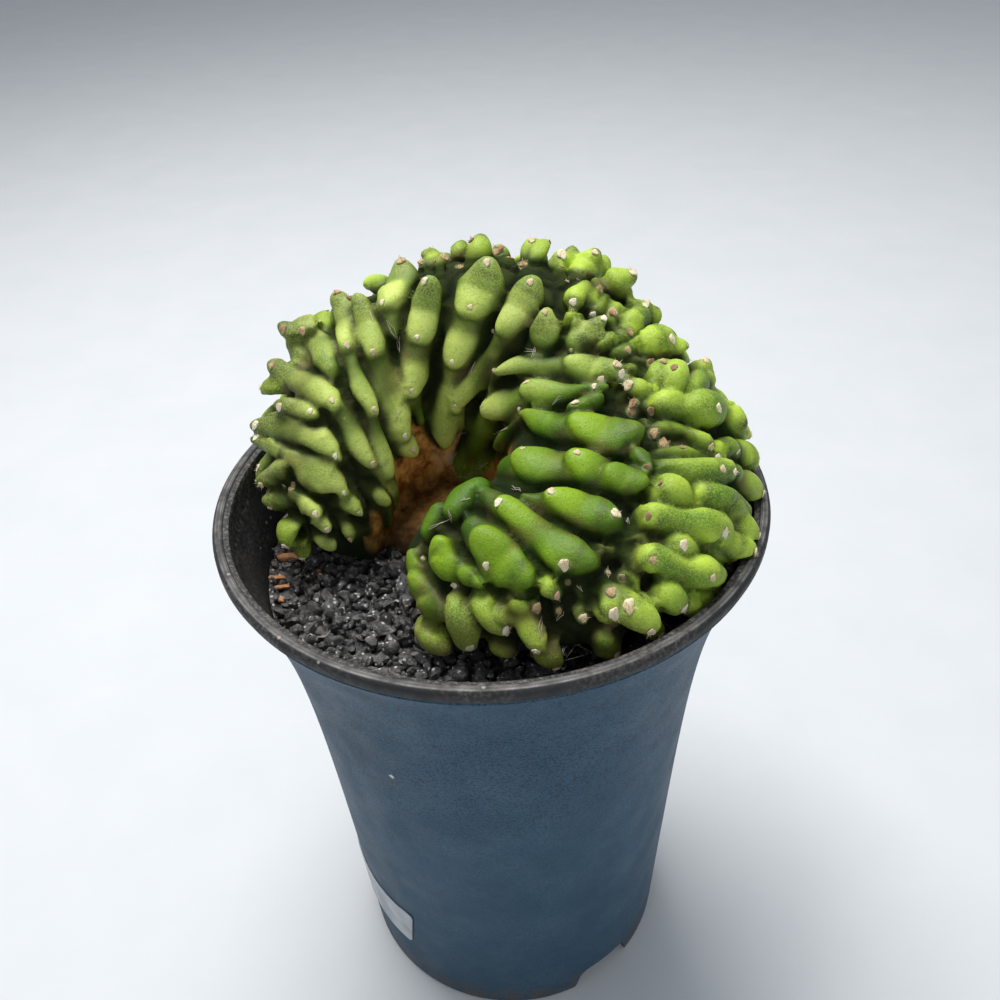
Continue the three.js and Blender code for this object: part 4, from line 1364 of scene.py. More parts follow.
def grow_rule_ribs(laid, model, chance):
    """Rows of pods down the outside of the crest, staggered from rib to rib, where none were traced."""
    pieces = []
    tips = []
    fresh = []
    for i, ((course, arcs), (azimuth, _, angles)) in enumerate(zip(rule_courses(), OUTER_RIBS)):
        edge = float(crest_sections(azimuth)[7])
        back = float(smoothstep(30, 70, azimuth) * smoothstep(190, 150, azimuth))
        shift = POD_STAGGER[i % 2] + chance.uniform(-1.0, 1.0)
        arcs = [float(arc) + shift + chance.uniform(-0.7, 0.7) for arc in arcs]
        starts = [float(course.stations[0]) - 1.5, *arcs[:-1]]
        for start, arc, angle in zip(starts, arcs, angles):
            size = min(0.6 + 0.0105 * (angle - edge), 1.0) * chance.uniform(0.84, 1.1)
            lift = chance.uniform(-0.3, 0.3) - valley(angle - edge)
            raised = 0.4 + 1.4 * back + chance.uniform(-0.5, 0.9)
            sway = chance.uniform(-1.3, 1.3)
            tip = Tip(course, arc, lift + size + raised, "young" if size < 0.8 else "outer")
            if laid.is_free(tip.place, float(course.width(arc))):
                pieces.append(lay_tubercle(model, course, start, arc, size, lift, sway, raised))
                tips.append(tip)
                fresh.append((course, start + 1.5, float(arc) - 1.0))
    for course, first, last in fresh:
        laid.add(course, first, last, True)
    return pieces, tips


def grow_young(laid, bar, chance):
    """Small new pods, half sunk in the body: many along the growing edge, and a few lower at the back."""
    pieces = []
    tips = []
    spots = [(azimuth, -6, 16) for azimuth in np.repeat(np.arange(-100, 196, 2.4), 3)]
    spots += [(azimuth, 22, 62) for azimuth in np.repeat(np.arange(20, 190, 4.0), 4)]
    for azimuth, nearest, farthest in spots:
        at = float(azimuth + chance.uniform(-1.2, 1.2))
        turned = at + np.linspace(0, 1, 3) * chance.uniform(-3, 3)
        beyond_edge = chance.uniform(nearest, farthest)
        angle = float(crest_sections(at)[7]) + beyond_edge + np.array([-7.0, 0.0, 7.0])
        half_width = chance.uniform(*YOUNG_WIDTH)
        course = Course(crest_point(turned, angle), crest_normal(turned, angle), [half_width] * 3)
        middle = float(course.stations[1])
        top = 1.2 * half_width - CORE_OUTER_DEPTH - 0.3 * VALLEY_DEPTH
        tip = Tip(course, middle + half_width, top, "young")
        if laid.is_free(tip.place, 0.8 * half_width):
            half_length = half_width * chance.uniform(1.2, 1.6)
            pieces.append(lay_bar(bar, course, middle - half_length, middle + half_length, 1.0,
                                  top - half_width, 1.0))
            tips.append(tip)
            laid.add(course, middle - 0.5, middle + 0.5, True)
    return pieces, tips


def grow_ribs(chance):
    """Every tubercle and bar of the crest, the traced tips, those laid by rule, and all their lines."""
    inner_model = model_tubercle("inner_tubercle", INNER_TUBERCLE, 0.6)
    outer_model = model_tubercle("outer_tubercle", OUTER_TUBERCLE, 0.15)
    bar = model_bar()
    crest = wrap_grid("crest", lambda azimuth, angle, edge: crest_point(azimuth, angle), 220, 112)
    crest_surface = surface_of(crest)
    core = wrap_grid("core", core_place, 220, 112)
    core_surface = surface_of(core)
    discard(crest, core)
    pieces = []
    traced = []
    laid = Lines()
    for stations in SEEN_RIBS:
        course, made, found = grow_seen_rib(crest_surface, stations, (inner_model, bar), chance)
        start = float(course.stations[0])
        laid.add(course, start + 0.4 * float(course.width(start)), float(course.stations[-1]), False)
        pieces += made
        traced += found
    for group, push in ((SEEN_PODS, 0.0), (SEEN_FINGERS, FINGER_PUSH)):
        for i, stations in enumerate(group):
            course, made, tip = grow_seen_pod(core_surface, stations, push + push * 0.6 * (i % 2), bar)
            laid.add(course, float(course.stations[0]), float(course.stations[-1]), True)
            pieces.append(made)
            traced.append(tip)
    made, by_rule = grow_rule_ribs(laid, outer_model, chance)
    pieces += made
    made, found = grow_young(laid, bar, chance)
    pieces += made
    by_rule += found
    discard(inner_model, outer_model, bar)
    return pieces, traced, by_rule, laid


def keep_in_pot(points):
    """Presses points in millimetres back from the pot's wall and lip."""
    low = points[:, 2] < POT_HEIGHT + 0.8
    room = np.minimum(wall_radius(points[:, 2]) - WALL, LIP_RADIUS - 3.4) - 0.4
    radius = np.hypot(points[:, 0], points[:, 1])
    scale = np.where(low & (radius > room), room / np.maximum(radius, 1e-6), 1)
    points[:, :2] *= scale[:, None]
    return points


def press_grooves(skin, laid):
    """Presses a groove into the skin wherever two ribs or pods touch."""
    points = coordinates(skin) / MM
    first, second, _, apart, spread, _ = laid.nearest_two(points)
    _, _, depth, _ = crest_place(points)
    beside = (second - first) / 2
    pressed = GROOVE_DEPTH * np.exp(-beside / GROOVE_WIDTH) * smoothstep(4.5, 2.0, depth)
    pressed *= smoothstep(3.2, 1.2, first) * smoothstep(-3.5, -1.0, depth)
    pressed *= smoothstep(0.3, 0.5, spread) * np.minimum(apart / WIDE_APART, 1)
    move_points(skin, (points - coordinates(skin, "normal") * pressed[:, None]) * MM)


def make_skin(pieces, laid):
    """The tubercles, bars, core and foot become one skin, cut off a little below the gravel."""
    core = wrap_grid("core", core_place, 150, 72)
    skin = join([core, make_foot(), *pieces], "cactus_skin")
    add_modifier(skin, "REMESH", mode="VOXEL", voxel_size=SKIN_VOXEL * MM)
    edit_all(skin)
    level = POT_HEIGHT - SOIL_DEPTH - SKIN_BELOW_GRAVEL
    bpy.ops.mesh.bisect(
        plane_co=(0, 0, level * MM), plane_no=(-SOIL_SLOPE, 0, 1), use_fill=True, clear_inner=True)
    leave_edit()
    add_modifier(skin, "SMOOTH", factor=0.5, iterations=2)
    press_grooves(skin, laid)
    add_modifier(skin, "SMOOTH", factor=0.3, iterations=1)
    faces = len(skin.data.polygons)
    add_modifier(skin, "DECIMATE", decimate_type="COLLAPSE", ratio=SKIN_TRIANGLES / (2 * faces))
    return skin


def seat_by_rule(surface, tips):
    """Moves the areole of each tip to the skin along the way that it faces."""
    for tip in tips:
        start = Vector((tip.place + tip.facing * 5) * MM)
        hit, normal, _, _ = surface.ray_cast(start, Vector(-tip.facing), 12 * MM)
        if hit is None:
            hit, normal, _, _ = surface.find_nearest(Vector(tip.place * MM))
        tip.place = np.array(hit) / MM
        tip.facing = unit(np.array(normal) * 0.7 + tip.facing * 0.3)


class Areole:
    """A woolly pad: its place, the way it looks out, a way along the skin, its half width and kind."""

    def __init__(self, place, facing, ahead, size, kind):
        self.place = place
        self.facing = facing
        self.ahead = ahead
        self.size = size
        self.kind = kind


def seen_areoles(surface):
    """The traced areoles, each set on the skin where its pixel's ray meets it."""
    areoles = []
    for column, row, half_width in SEEN_AREOLES:
        point, _, depth = cast(surface, column, row)
        hit, normal, _, _ = surface.find_nearest(Vector(point * MM))
        facing = np.array(normal)
        downhill = unit(np.array([0.05, 0, -1.0]) + facing * facing[2])
        size = 0.9 * half_width * depth / FOCAL_PIXELS
        place = np.array(hit) / MM
        _, angle, _, edge = crest_place(place[None])
        kind = "young" if -4 < angle[0] - edge[0] < YOUNG_BAND else "seen"
        areoles.append(Areole(place, facing, downhill, size, kind))
    return areoles


def nearest_to(points, places, count):
    tree = KDTree(len(places))
    for i, place in enumerate(places):
        tree.insert(Vector(place), i)
    tree.balance()
    return np.array([[found[1] for found in tree.find_n(Vector(p), count)] for p in points])


def dress_skin(skin, tips, areoles, laid):
    """Sinks the skin a little round each areole and gives it the numbers that its material reads: where
    painted light brightens the greens, where painted shade darkens the seams, the creases and the
    undersides of the chins, and where the brown heads and the cork lie."""
    points = coordinates(skin) / MM
    near = nearest_to(points, [tip.place for tip in tips], 8)
    is_head = np.array([tip.kind == "head" for tip in tips])[near]
    head_places = np.array([tip.place for tip in tips if tip.kind == "head"])
    place, ahead, side, normal = (
        np.array([getattr(tip, name) for tip in tips])[near]
        for name in ("place", "ahead", "side", "normal"))
    offset = points[:, None, :] - place
    distance = np.linalg.norm(offset, axis=2)
    along = (offset * ahead).sum(2)
    across = (offset * side).sum(2)
    rise = (offset * normal).sum(2)
    pad = nearest_to(points, [areole.place for areole in areoles], 1)[:, 0]
    from_pad = np.linalg.norm(points - np.array([areole.place for areole in areoles])[pad], axis=1)
    pad_size = np.array([areole.size for areole in areoles])[pad]
    looks = np.array([areole.facing for areole in areoles])[pad]
    reach = from_pad / np.maximum(pad_size, 0.4)
    dip = 0.2 * smoothstep(1.7, 0.7, reach)
    ring = 0.1 * smoothstep(1.3, 1.8, reach) * smoothstep(3.0, 2.0, reach)
    points += looks * (ring - dip)[:, None]
    move_points(skin, keep_in_pot(points) * MM)
    azimuth, angle, depth, edge = crest_place(points)
    first, second, pod, _, spread, width = laid.nearest_two(points)
    close = smoothstep(5.0, 2.0, first)
    flank = np.clip(smoothstep(4, 22, angle - edge) * (1 - close) + pod * close, 0, 1)
    # groove: painted shade along the seams where two ribs or pods touch.
    groove = np.exp(-(second - first) / 2 / SEAM_WIDTH) * smoothstep(-1.8, 0.4, depth)
    groove *= smoothstep(0.3, 0.5, spread)
    # crease: painted shade on the step just beyond each tip, where the next tubercle starts lower.
    crease = np.exp(-((along - 1.7) / 0.55) ** 2) * smoothstep(3.8, 2.6, np.abs(across))
    crease = (crease * smoothstep(4.5, 2.5, np.abs(rise))).max(1)
    # chin: painted shade under each overhanging chin; brow adds the heads' own brownish colour.
    chin = smoothstep(-0.5, 1.3, along) * smoothstep(-0.4, -2.2, rise) * smoothstep(6, 3.5, distance)
    left = smoothstep(120, 165, azimuth)
    front = smoothstep(15, -15, azimuth)
    from_head = head_places[nearest_to(points, head_places, 1)[:, 0]]
    from_head = np.linalg.norm(points - from_head, axis=1)
    brow = (0.3 + 0.5 * left) * (1 - 0.8 * front) * smoothstep(8.0 + 6 * left, 1.0, from_head)
    chin = np.maximum((chin * ~is_head).max(1), brow)
    small = smoothstep(3.0, 2.2, width) * close
    growth = smoothstep(24, 8, np.abs(angle - edge - 6)) * np.maximum(1 - 0.8 * flank, small)
    # lit: painted light on each tubercle, rising towards its chin, fading to its sides, none at the heads.
    lit = smoothstep(-13.0, -1.5, along) * smoothstep(2.2, 0.4, along)
    lit *= smoothstep(5.5, 2.0, np.abs(across))
    lit = (lit * smoothstep(-9.0, -1.5, rise) * ~is_head).max(1)
    height = points[:, 2] - POT_HEIGHT
    foot = np.hypot(points[:, 0] - FOOT_X, points[:, 1] - FOOT_Y)
    cork = smoothstep(FOOT_RADIUS + 6, FOOT_RADIUS, foot) * smoothstep(-5.0, -8.0, height)
    wall = smoothstep(45, 5, angle) * smoothstep(1.4, 2.6, depth) * smoothstep(12, 4, height)
    cork = np.maximum(cork, wall)
    cork = np.maximum(cork, smoothstep(8, -8, angle)) * smoothstep(0.2, 1.2, first)
    blush = smoothstep(-45, -60, azimuth) * smoothstep(6, -2, height) * smoothstep(3.0, 1.5, depth)
    share = np.exp(-(distance / TONE_REACH) ** 2) + 1e-9
    tone = (share * (near * TONE_STEP % 1)).sum(1) / share.sum(1)
    numbers = {
        "tone": tone, "areole": reach, "depth": depth, "crease": crease, "chin": chin,
        "growth": growth, "flank": flank, "groove": groove, "lit": lit,
        "front": smoothstep(25, -25, azimuth) * (1 - flank), "cork": cork, "blush": blush * close,
        "papery": smoothstep(20, 8, np.abs(azimuth - 96)) * smoothstep(-9, -2, height),
    }
    for name, values in numbers.items():
        set_attribute(skin, name, values)


def skin_material():
    """Velvety green skin: moss green inside, waxy on the front lobe, lime on the pods outside, brownish on
    the heads at the left, and corky in the hollow, with painted light on the tubercles and painted shade in
    the grooves, creases and recesses, under the chins and down the cork into the hollow."""
    material, tree, shader = new_material(
        "cactus_skin", Specular_IOR_Level=0.2, Subsurface_Weight=0.1, Subsurface_Scale=0.001)
    shader.inputs["Subsurface Radius"].default_value = (0.6, 1.0, 0.25)
    coords = object_coords(tree)
    flank = attribute(tree, "flank")
    front = attribute(tree, "front")
    growth = attribute(tree, "growth")
    depth = attribute(tree, "depth")
    lit = attribute(tree, "lit")
    slow = noise(tree, coords, 110.0, 3.0)
    patchy = noise(tree, coords, 320.0, 4.0, 0.6)
    fine = noise(tree, coords, 3200.0, 2.0, 0.6)
    # Each green runs from its painted shade to its painted light, by lit.
    moss = mix(tree, lit, srgb(82, 112, 30), srgb(208, 224, 116))
    moss = mix(tree, ramp(tree, slow, 0.35, 0.7, 0.0, 0.5), moss, srgb(134, 160, 54))
    wax = mix(tree, lit, srgb(64, 102, 10), srgb(132, 166, 32))
    wax = mix(tree, ramp(tree, slow, 0.35, 0.7, 0.0, 0.5), wax, srgb(98, 136, 24))
    lime = mix(tree, lit, srgb(78, 118, 20), srgb(178, 206, 66))
    lime = mix(tree, ramp(tree, patchy, 0.35, 0.7, 0.0, 0.4), lime, srgb(142, 172, 50))
    green = mix(tree, front, moss, wax)
    green = mix(tree, flank, green, lime)
    shaded = ramp(tree, attribute(tree, "tone"), 0.35, 0.62, 0.0, 0.3)
    green = mix(tree, shaded, green, srgb(54, 88, 18))
    green = mix(tree, times(tree, growth, 0.4), green, srgb(48, 82, 30))
    # Painted shade, darker the deeper the skin lies below the crest's surface.
    low = ramp(tree, depth, 0.4, 2.3)
    green = mix(tree, times(tree, low, 0.92), green, srgb(24, 38, 4))
    # Painted shade along the seams.
    green = mix(tree, times(tree, attribute(tree, "groove"), 0.85), green, srgb(20, 32, 2))
    # Brownish painted shade under the chins, together with the heads' own brown.
    chin = times(tree, attribute(tree, "chin"), ramp(tree, patchy, 0.25, 0.65, 0.5, 0.9))
    green = mix(tree, chin, green, srgb(46, 44, 18))
    # Painted shade in the creases beyond the tips.
    green = mix(tree, times(tree, attribute(tree, "crease"), 0.55), green, srgb(58, 70, 28))
    tint = ramp(tree, noise(tree, coords, 75.0, 2.0), 0.5, 0.68)
    tint = times(tree, tint, ramp(tree, depth, 2.4, 1.0))
    tint = times(tree, tint, ramp(tree, depth, 0.0, 0.8))
    green = mix(tree, times(tree, tint, 0.45), green, srgb(104, 84, 52))
    # Painted shade, near black, in the deepest recesses.
    green = mix(tree, times(tree, ramp(tree, depth, 2.2, 4.2), 0.85), green, srgb(14, 20, 4))
    blush = times(tree, attribute(tree, "blush"), ramp(tree, patchy, 0.35, 0.65, 0.1, 0.55))
    green = mix(tree, blush, green, srgb(122, 100, 72))
    bloom = times(tree, ramp(tree, depth, 0.9, -0.4), ramp(tree, fine, 0.4, 0.68))
    bloom = times(tree, bloom, ramp(tree, front, 0.0, 1.0, 1.0, 0.2))
    green = mix(tree, times(tree, bloom, 0.35), green, srgb(196, 212, 120))
    stipple = ramp(tree, noise(tree, coords, 2400.0, 1.0), 0.6, 0.7)
    green = mix(tree, times(tree, stipple, 0.3), green, srgb(38, 58, 20))
    halo = times(tree, ramp(tree, attribute(tree, "areole"), 1.9, 0.8), 0.45)
    green = mix(tree, halo, green, srgb(170, 190, 128))
    barky = ramp(tree, noise(tree, coords, 260.0, 5.0, 0.65), 0.35, 0.65)
    cork = mix(tree, barky, srgb(136, 82, 26), srgb(236, 182, 98))
    height = add_node(tree, "ShaderNodeSeparateXYZ", {"Vector": coords}).outputs["Z"]
    cork = mix(tree, ramp(tree, height, CORK_LIT * MM, CORK_DARK * MM), cork, srgb(16, 9, 4))
    papery = ramp(tree, noise(tree, coords, 380.0, 4.0, 0.7), 0.3, 0.6, 0.2, 1.0)
    papery = times(tree, attribute(tree, "papery"), papery)
    cork = mix(tree, papery, cork, srgb(216, 190, 138))
    cork_share = times(tree, attribute(tree, "cork"), ramp(tree, patchy, 0.2, 0.5, 0.75, 1.0))
    colour = mix(tree, cork_share, green, cork)
    rough = ramp(tree, patchy, 0.3, 0.7, 0.42, 0.55)
    rough = maths(tree, "ADD", rough, times(tree, front, -0.06))
    rough = maths(tree, "ADD", rough, times(tree, cork_share, 0.3))
    rough = maths(tree, "MAXIMUM", rough, ramp(tree, depth, 0.8, 2.2, 0.0, 0.92))
    pebbled = maths(tree, "ADD", fine, times(tree, noise(tree, coords, 700.0, 4.0), 1.4))
    barky = times(tree, cork_share, noise(tree, coords, 500.0, 6.0, 0.7))
    pebbled = maths(tree, "ADD", pebbled, barky)
    feed(tree, shader, colour, rough, pebbled, 0.09)
    return material


def model_pad():
    """A flattened sphere with a lumpy rim, one millimetre in radius, facing +Z."""
    deselect_all()
    bpy.ops.mesh.primitive_uv_sphere_add(segments=16, ring_count=8, radius=1.0)
    pad = newest("pad")
    points = coordinates(pad)
    turn = np.arctan2(points[:, 1], points[:, 0])
    reach = np.hypot(points[:, 0], points[:, 1])
    lump = 1 + 0.12 * np.sin(3 * turn + 0.6) + 0.09 * np.sin(5 * turn + 2) * reach
    points[:, :2] *= lump[:, None]
    points[:, 2] = points[:, 2] * 0.36 + 0.05 * np.sin(7 * points[:, 0] + 5 * points[:, 1])
    move_points(pad, points)
    return pad


def model_tuft(chance, count):
    """Short crooked hairs of wool, each a thin three-sided cone with a bend, spread round +Z."""
    hairs = []
    for _ in range(count):
        deselect_all()
        bpy.ops.mesh.primitive_cone_add(
            vertices=3, radius1=0.11, radius2=0.02, depth=1.0, location=(0, 0, 0.5))
        hair = newest("hair")
        bpy.ops.object.transform_apply()
        edit_all(hair)
        bpy.ops.mesh.subdivide(number_cuts=1)
        leave_edit()
        points = coordinates(hair)
        length = chance.uniform(0.5, 1.05)
        lean = chance.uniform(0.1, 1.1)
        bend = chance.uniform(-0.5, 0.6)
        turn = chance.uniform(0, 2 * math.pi)
        root = chance.uniform(0, 0.6)
        z = points[:, 2] * length
        x = points[:, 0] + root + z * lean + bend * z * z
        y = points[:, 1]
        move_points(hair, np.stack([x * math.cos(turn) - y * math.sin(turn),
                                    x * math.sin(turn) + y * math.cos(turn), z * 0.8], 1))
        hairs.append(hair)
    return join(hairs, "tuft")


def place_on(model, name, place, facing, forward, scale):
    """A copy of the model set down at a place, its Z facing out and its X forward."""
    z = Vector(facing).normalized()
    y = z.cross(Vector(forward)).normalized()
    x = y.cross(z)
    axes = np.array([list(x), list(y), list(z)])
    made = copy_of(model, name)
    move_points(made, ((coordinates(made) * np.array(scale)) @ axes + place) * MM)
    return made


def make_areoles(areoles, chance, wool):
    """A pad for each areole and a tuft on most of them. Small ones often go without."""
    pad_model = model_pad()
    tufts = [model_tuft(chance, WOOL_HAIRS) for _ in range(4)]
    pads = []
    hairs = []
    for areole in areoles:
        size = areole.size * chance.uniform(0.9, 1.1)
        long = chance.uniform(1.0, 1.5)
        scale = (size * long, size, size)
        pad = place_on(pad_model, "pad", areole.place, areole.facing, areole.ahead, scale)
        young = 1.0 if areole.kind == "young" else 0.0
        set_attribute(pad, "young", np.full(len(pad.data.vertices), young))
        pads.append(pad)
        if areole.size < SMALLEST_WOOLLY and chance.random() < BARE_SHARE:
            continue
        reach = size * 1.15
        turn = chance.uniform(0, 6.28)
        forward = areole.ahead * math.cos(turn) + np.cross(areole.facing, areole.ahead) * math.sin(turn)
        hair = place_on(chance.choice(tufts), "hairs", areole.place, areole.facing, forward, (reach,) * 3)
        set_attribute(hair, "young", np.full(len(hair.data.vertices), young))
        hairs.append(hair)
    discard(pad_model, *tufts)
    pads = join(pads, "areole_pads")
    shade_smooth(pads)
    hairs = join(hairs, "areole_wool")
    shade_smooth(hairs)
    finish_piece(pads, "cactus", "cactus_skin", wool)
    finish_piece(hairs, "cactus", "cactus_skin", wool)


def wool_material():
    """Cream wool, tan where the areole is young, with darker spots."""
    material, tree, shader = new_material(
        "areole_wool", Specular_IOR_Level=0.3, Sheen_Weight=0.5, Subsurface_Weight=0.1,
        Subsurface_Scale=0.0006)
    coords = object_coords(tree)
    tone = ramp(tree, noise(tree, coords, 420.0, 2.0), 0.35, 0.65)
    colour = mix(tree, tone, srgb(206, 186, 140), srgb(240, 230, 204))
    tan = mix(tree, tone, srgb(132, 96, 60), srgb(196, 166, 122))
    colour = mix(tree, attribute(tree, "young"), colour, tan)
    spots = ramp(tree, noise(tree, coords, 1900.0, 3.0, 0.7), 0.55, 0.7)
    colour = mix(tree, times(tree, spots, 0.6), colour, srgb(158, 124, 76))
    rough = ramp(tree, tone, 0.0, 1.0, 0.75, 0.9)
    feed(tree, shader, colour, rough, noise(tree, coords, 3500.0, 2.0), 0.12)
    return material


# Soil

def make_bed(material):
    """The body of the gravel: its sides follow the wall, its top is rough and leans as the gravel does."""
    level = POT_HEIGHT - SOIL_DEPTH
    bottom = FLOOR_TOP + BED_GAP
    profile = [(0, bottom), (wall_radius(bottom) - WALL - BED_GAP, bottom)]
    profile += [(wall_radius(z) - WALL - BED_GAP, z) for z in np.arange(bottom + 8, level - 4, 8)]
    profile += [(radius, level) for radius in np.arange(BASE_RADIUS + 8, 0, -1.3)] + [(0, level)]
    bed = spin_profile("gravel_bed", profile, 128)
    points = coordinates(bed) / MM
    top = points[:, 2] > level - 0.5
    for i in np.nonzero(top)[0]:
        x, y, _ = points[i]
        bumps = field.noise(Vector((x, y, 3.0)) * 0.45) * 0.7
        bumps += field.noise(Vector((x, y, 9.0)) * 1.3) * 0.4
        points[i, 2] = soil_height(x) - 0.9 + bumps
    reach = np.hypot(points[:, 0], points[:, 1])
    edge = reach.max()
    room = wall_radius(points[:, 2]) - WALL - BED_GAP
    scale = np.where(top, room / edge, 1)
    points[:, :2] *= scale[:, None]
    move_points(bed, points * MM)
    shade_smooth(bed, 50)
    return finish_piece(bed, "soil", "gravel", material)


def model_grains(chance):
    """Chips of gravel: balls knocked flat on several sides, each with a few dozen faces."""
    grains = []
    for i in range(GRAIN_VARIANTS):
        deselect_all()
        bpy.ops.mesh.primitive_ico_sphere_add(subdivisions=2, radius=1.0)
        grain = newest(f"grain_{i}")
        points = coordinates(grain)
        for _ in range(GRAIN_FLATS):
            way = unit(np.array([chance.gauss(0, 1), chance.gauss(0, 1), chance.gauss(0, 1)]))
            beyond = np.maximum(points @ way - chance.uniform(0.5, 0.82), 0)
            points -= beyond[:, None] * way
        points[:, 0] *= chance.uniform(0.95, 1.3)
        points[:, 1] *= chance.uniform(0.8, 1.05)
        points[:, 2] *= chance.uniform(0.65, 0.9)
        move_points(grain, points)
        add_modifier(grain, "DECIMATE", decimate_type="COLLAPSE", ratio=0.6)
        grains.append(grain)
    return grains


def random_turn(chance):
    axis = Vector((chance.gauss(0, 1), chance.gauss(0, 1), chance.gauss(0, 1))).normalized()
    return np.array(Matrix.Rotation(chance.uniform(0, 2 * math.pi), 3, axis))


def set_grain(model, place, size, turn, tone, tan):
    made = copy_of(model, "grain")
    move_points(made, (coordinates(made) * size @ turn + place) * MM)
    set_attribute(made, "tone", [tone] * len(made.data.vertices))
    set_attribute(made, "tan", [tan] * len(made.data.vertices))
    return made


def make_gravel(skin, chance, material):
    """Grains on a jittered grid, in one full layer and part of a second, where the plant leaves room."""
    models = model_grains(chance)
    surface = surface_of(skin)
    half = int(LIP_RADIUS / GRAIN_SPACING) + 1
    grains = []
    for layer in range(2):
        for row in range(-half, half + 1):
            for column in range(-half, half + 1):
                x = column + (row % 2) / 2 + chance.uniform(-GRAIN_JITTER, GRAIN_JITTER) + 0.3 * layer
                y = row * GRAIN_ROW + chance.uniform(-GRAIN_JITTER, GRAIN_JITTER)
                x *= GRAIN_SPACING
                y *= GRAIN_SPACING
                size = (0.85 + 1.7 * chance.random() ** 1.7) * (0.85 if layer else 1.0)
                pick = chance.random()
                turn = random_turn(chance)
                z = soil_height(x) + LAYER_HEIGHTS[layer] + chance.uniform(-0.3, 0.3)
                tone = chance.random()
                tan = 1.0 if chance.random() < TAN_SHARE else 0.0
                if layer and pick > UPPER_GRAINS:
                    continue
                if math.hypot(x, y) > wall_radius(z) - WALL - size * 0.9:
                    continue
                place = Vector((x, y, z))
                hit, normal, _, distance = surface.find_nearest(place * MM)
                inside = (place * MM - hit).dot(normal) < 0
                if inside and distance > 0.8 * MM:
                    continue
                model = models[int(pick * 997) % GRAIN_VARIANTS]
                grains.append(set_grain(model, np.array(place), size, turn, tone, tan))
    for x, y, size in TAN_CHIPS:
        place = np.array([x, y, soil_height(x) + 1.3])
        flat = np.array([1.2, 0.9, 0.5])
        slight_turn = random_turn(chance) * 0.25 + np.eye(3) * 0.8
        grains.append(set_grain(models[3], place, size * flat, slight_turn, 0.5, 1.0))
    discard(*models)
    gravel = join(grains, "gravel_grains")
    shade_smooth(gravel, 32)
    return finish_piece(gravel, "soil", "gravel", material)


def gravel_material():
    """Black volcanic chips, each of its own tone, with glints, brown dust and a few tan ones."""
    material, tree, shader = new_material("gravel", Specular_IOR_Level=0.6)
    coords = object_coords(tree)
    rough_noise = noise(tree, coords, 900.0, 4.0, 0.65)
    coal = mix(tree, attribute(tree, "tone"), srgb(14, 14, 16), srgb(78, 77, 77))
    coal = mix(tree, ramp(tree, rough_noise, 0.5, 0.72), coal, srgb(128, 127, 125))
    glints = specked(tree, coords, 1300.0, 0.62, 0.26)
    coal = mix(tree, times(tree, glints, 0.85), coal, srgb(204, 204, 204))
    chip = mix(tree, rough_noise, srgb(150, 84, 44), srgb(206, 150, 96))
    colour = mix(tree, attribute(tree, "tan"), coal, chip)
    colour = dusted(tree, coords, colour, srgb(98, 84, 66), 90.0, 1200.0, 0.3)
    rough = maths(tree, "SUBTRACT", ramp(tree, rough_noise, 0.3, 0.7, 0.26, 0.5),
                  times(tree, glints, 0.15))
    feed(tree, shader, colour, rough, noise(tree, coords, 1100.0, 5.0, 0.7), 0.4)
    return material


# Fibres in the grooves and root threads on the gravel

def between(places, share):
    """Points at these shares of the way along a broken line through evenly spaced places."""
    line = np.array(places, float)
    knots = np.linspace(0, 1, len(line))
    return np.stack([np.interp(share, knots, line[:, k]) for k in range(3)], -1)


def make_thread(name, places, radius):
    """A thin five-sided tube through these places, in millimetres."""
    deselect_all()
    bpy.ops.mesh.primitive_cylinder_add(vertices=5, radius=1.0, depth=1.0, end_fill_type="NGON")
    thread = newest(name)
    select_in_edit(thread, lambda co: False)
    mesh = bmesh.from_edit_mesh(thread.data)
    for edge in mesh.edges:
        edge.select = abs(edge.verts[0].co.z - edge.verts[1].co.z) > 0.5
    bmesh.update_edit_mesh(thread.data)
    bpy.ops.mesh.subdivide(number_cuts=THREAD_CUTS)
    leave_edit()
    points = coordinates(thread)
    share = points[:, 2] + 0.5
    centre = between(places, share)
    ahead = between(places, np.clip(share + 0.04, 0, 1)) - between(places, np.clip(share - 0.04, 0, 1))
    ahead = unit(ahead)
    side = unit(np.cross(ahead, np.array([0.1, 0.2, 1.0])))
    up = np.cross(side, ahead)
    girth = radius * (0.35 + 0.65 * np.sin(np.pi * np.clip(share, 0.02, 0.98)) ** 0.5)
    moved = centre + side * (points[:, 0] * girth)[:, None] + up * (points[:, 1] * girth)[:, None]
    move_points(thread, moved * MM)
    return thread


def make_fibres(surface, chance, material):
    """Three crooked fibres for each strand, laid on the skin along the traced pixels."""
    threads = []
    for x0, y0, x1, y1 in SEEN_FIBRES:
        for _ in range(3):
            bow = chance.uniform(-FIBRE_SPREAD, FIBRE_SPREAD)
            from_x = x0 + chance.uniform(-FIBRE_SPREAD, FIBRE_SPREAD)
            from_y = y0 + chance.uniform(-FIBRE_SPREAD, FIBRE_SPREAD)
            places = []
            for share in np.linspace(0, 1, 7):
                column = from_x + (x1 - from_x) * share + bow * math.sin(math.pi * share)
                row = from_y + (y1 - from_y) * share + bow * math.sin(2.4 * math.pi * share) * 0.5
                point, _, _ = cast(surface, column, row)
                hit, normal, _, _ = surface.find_nearest(Vector(point * MM))
                places.append(np.array(hit) / MM + np.array(normal) * FIBRE_LIFT)
            threads.append(make_thread("fibre", places, FIBRE_RADIUS))
    piece = join(threads, "groove_fibres")
    shade_smooth(piece)
    return finish_piece(piece, "cactus", "cactus_skin", material)


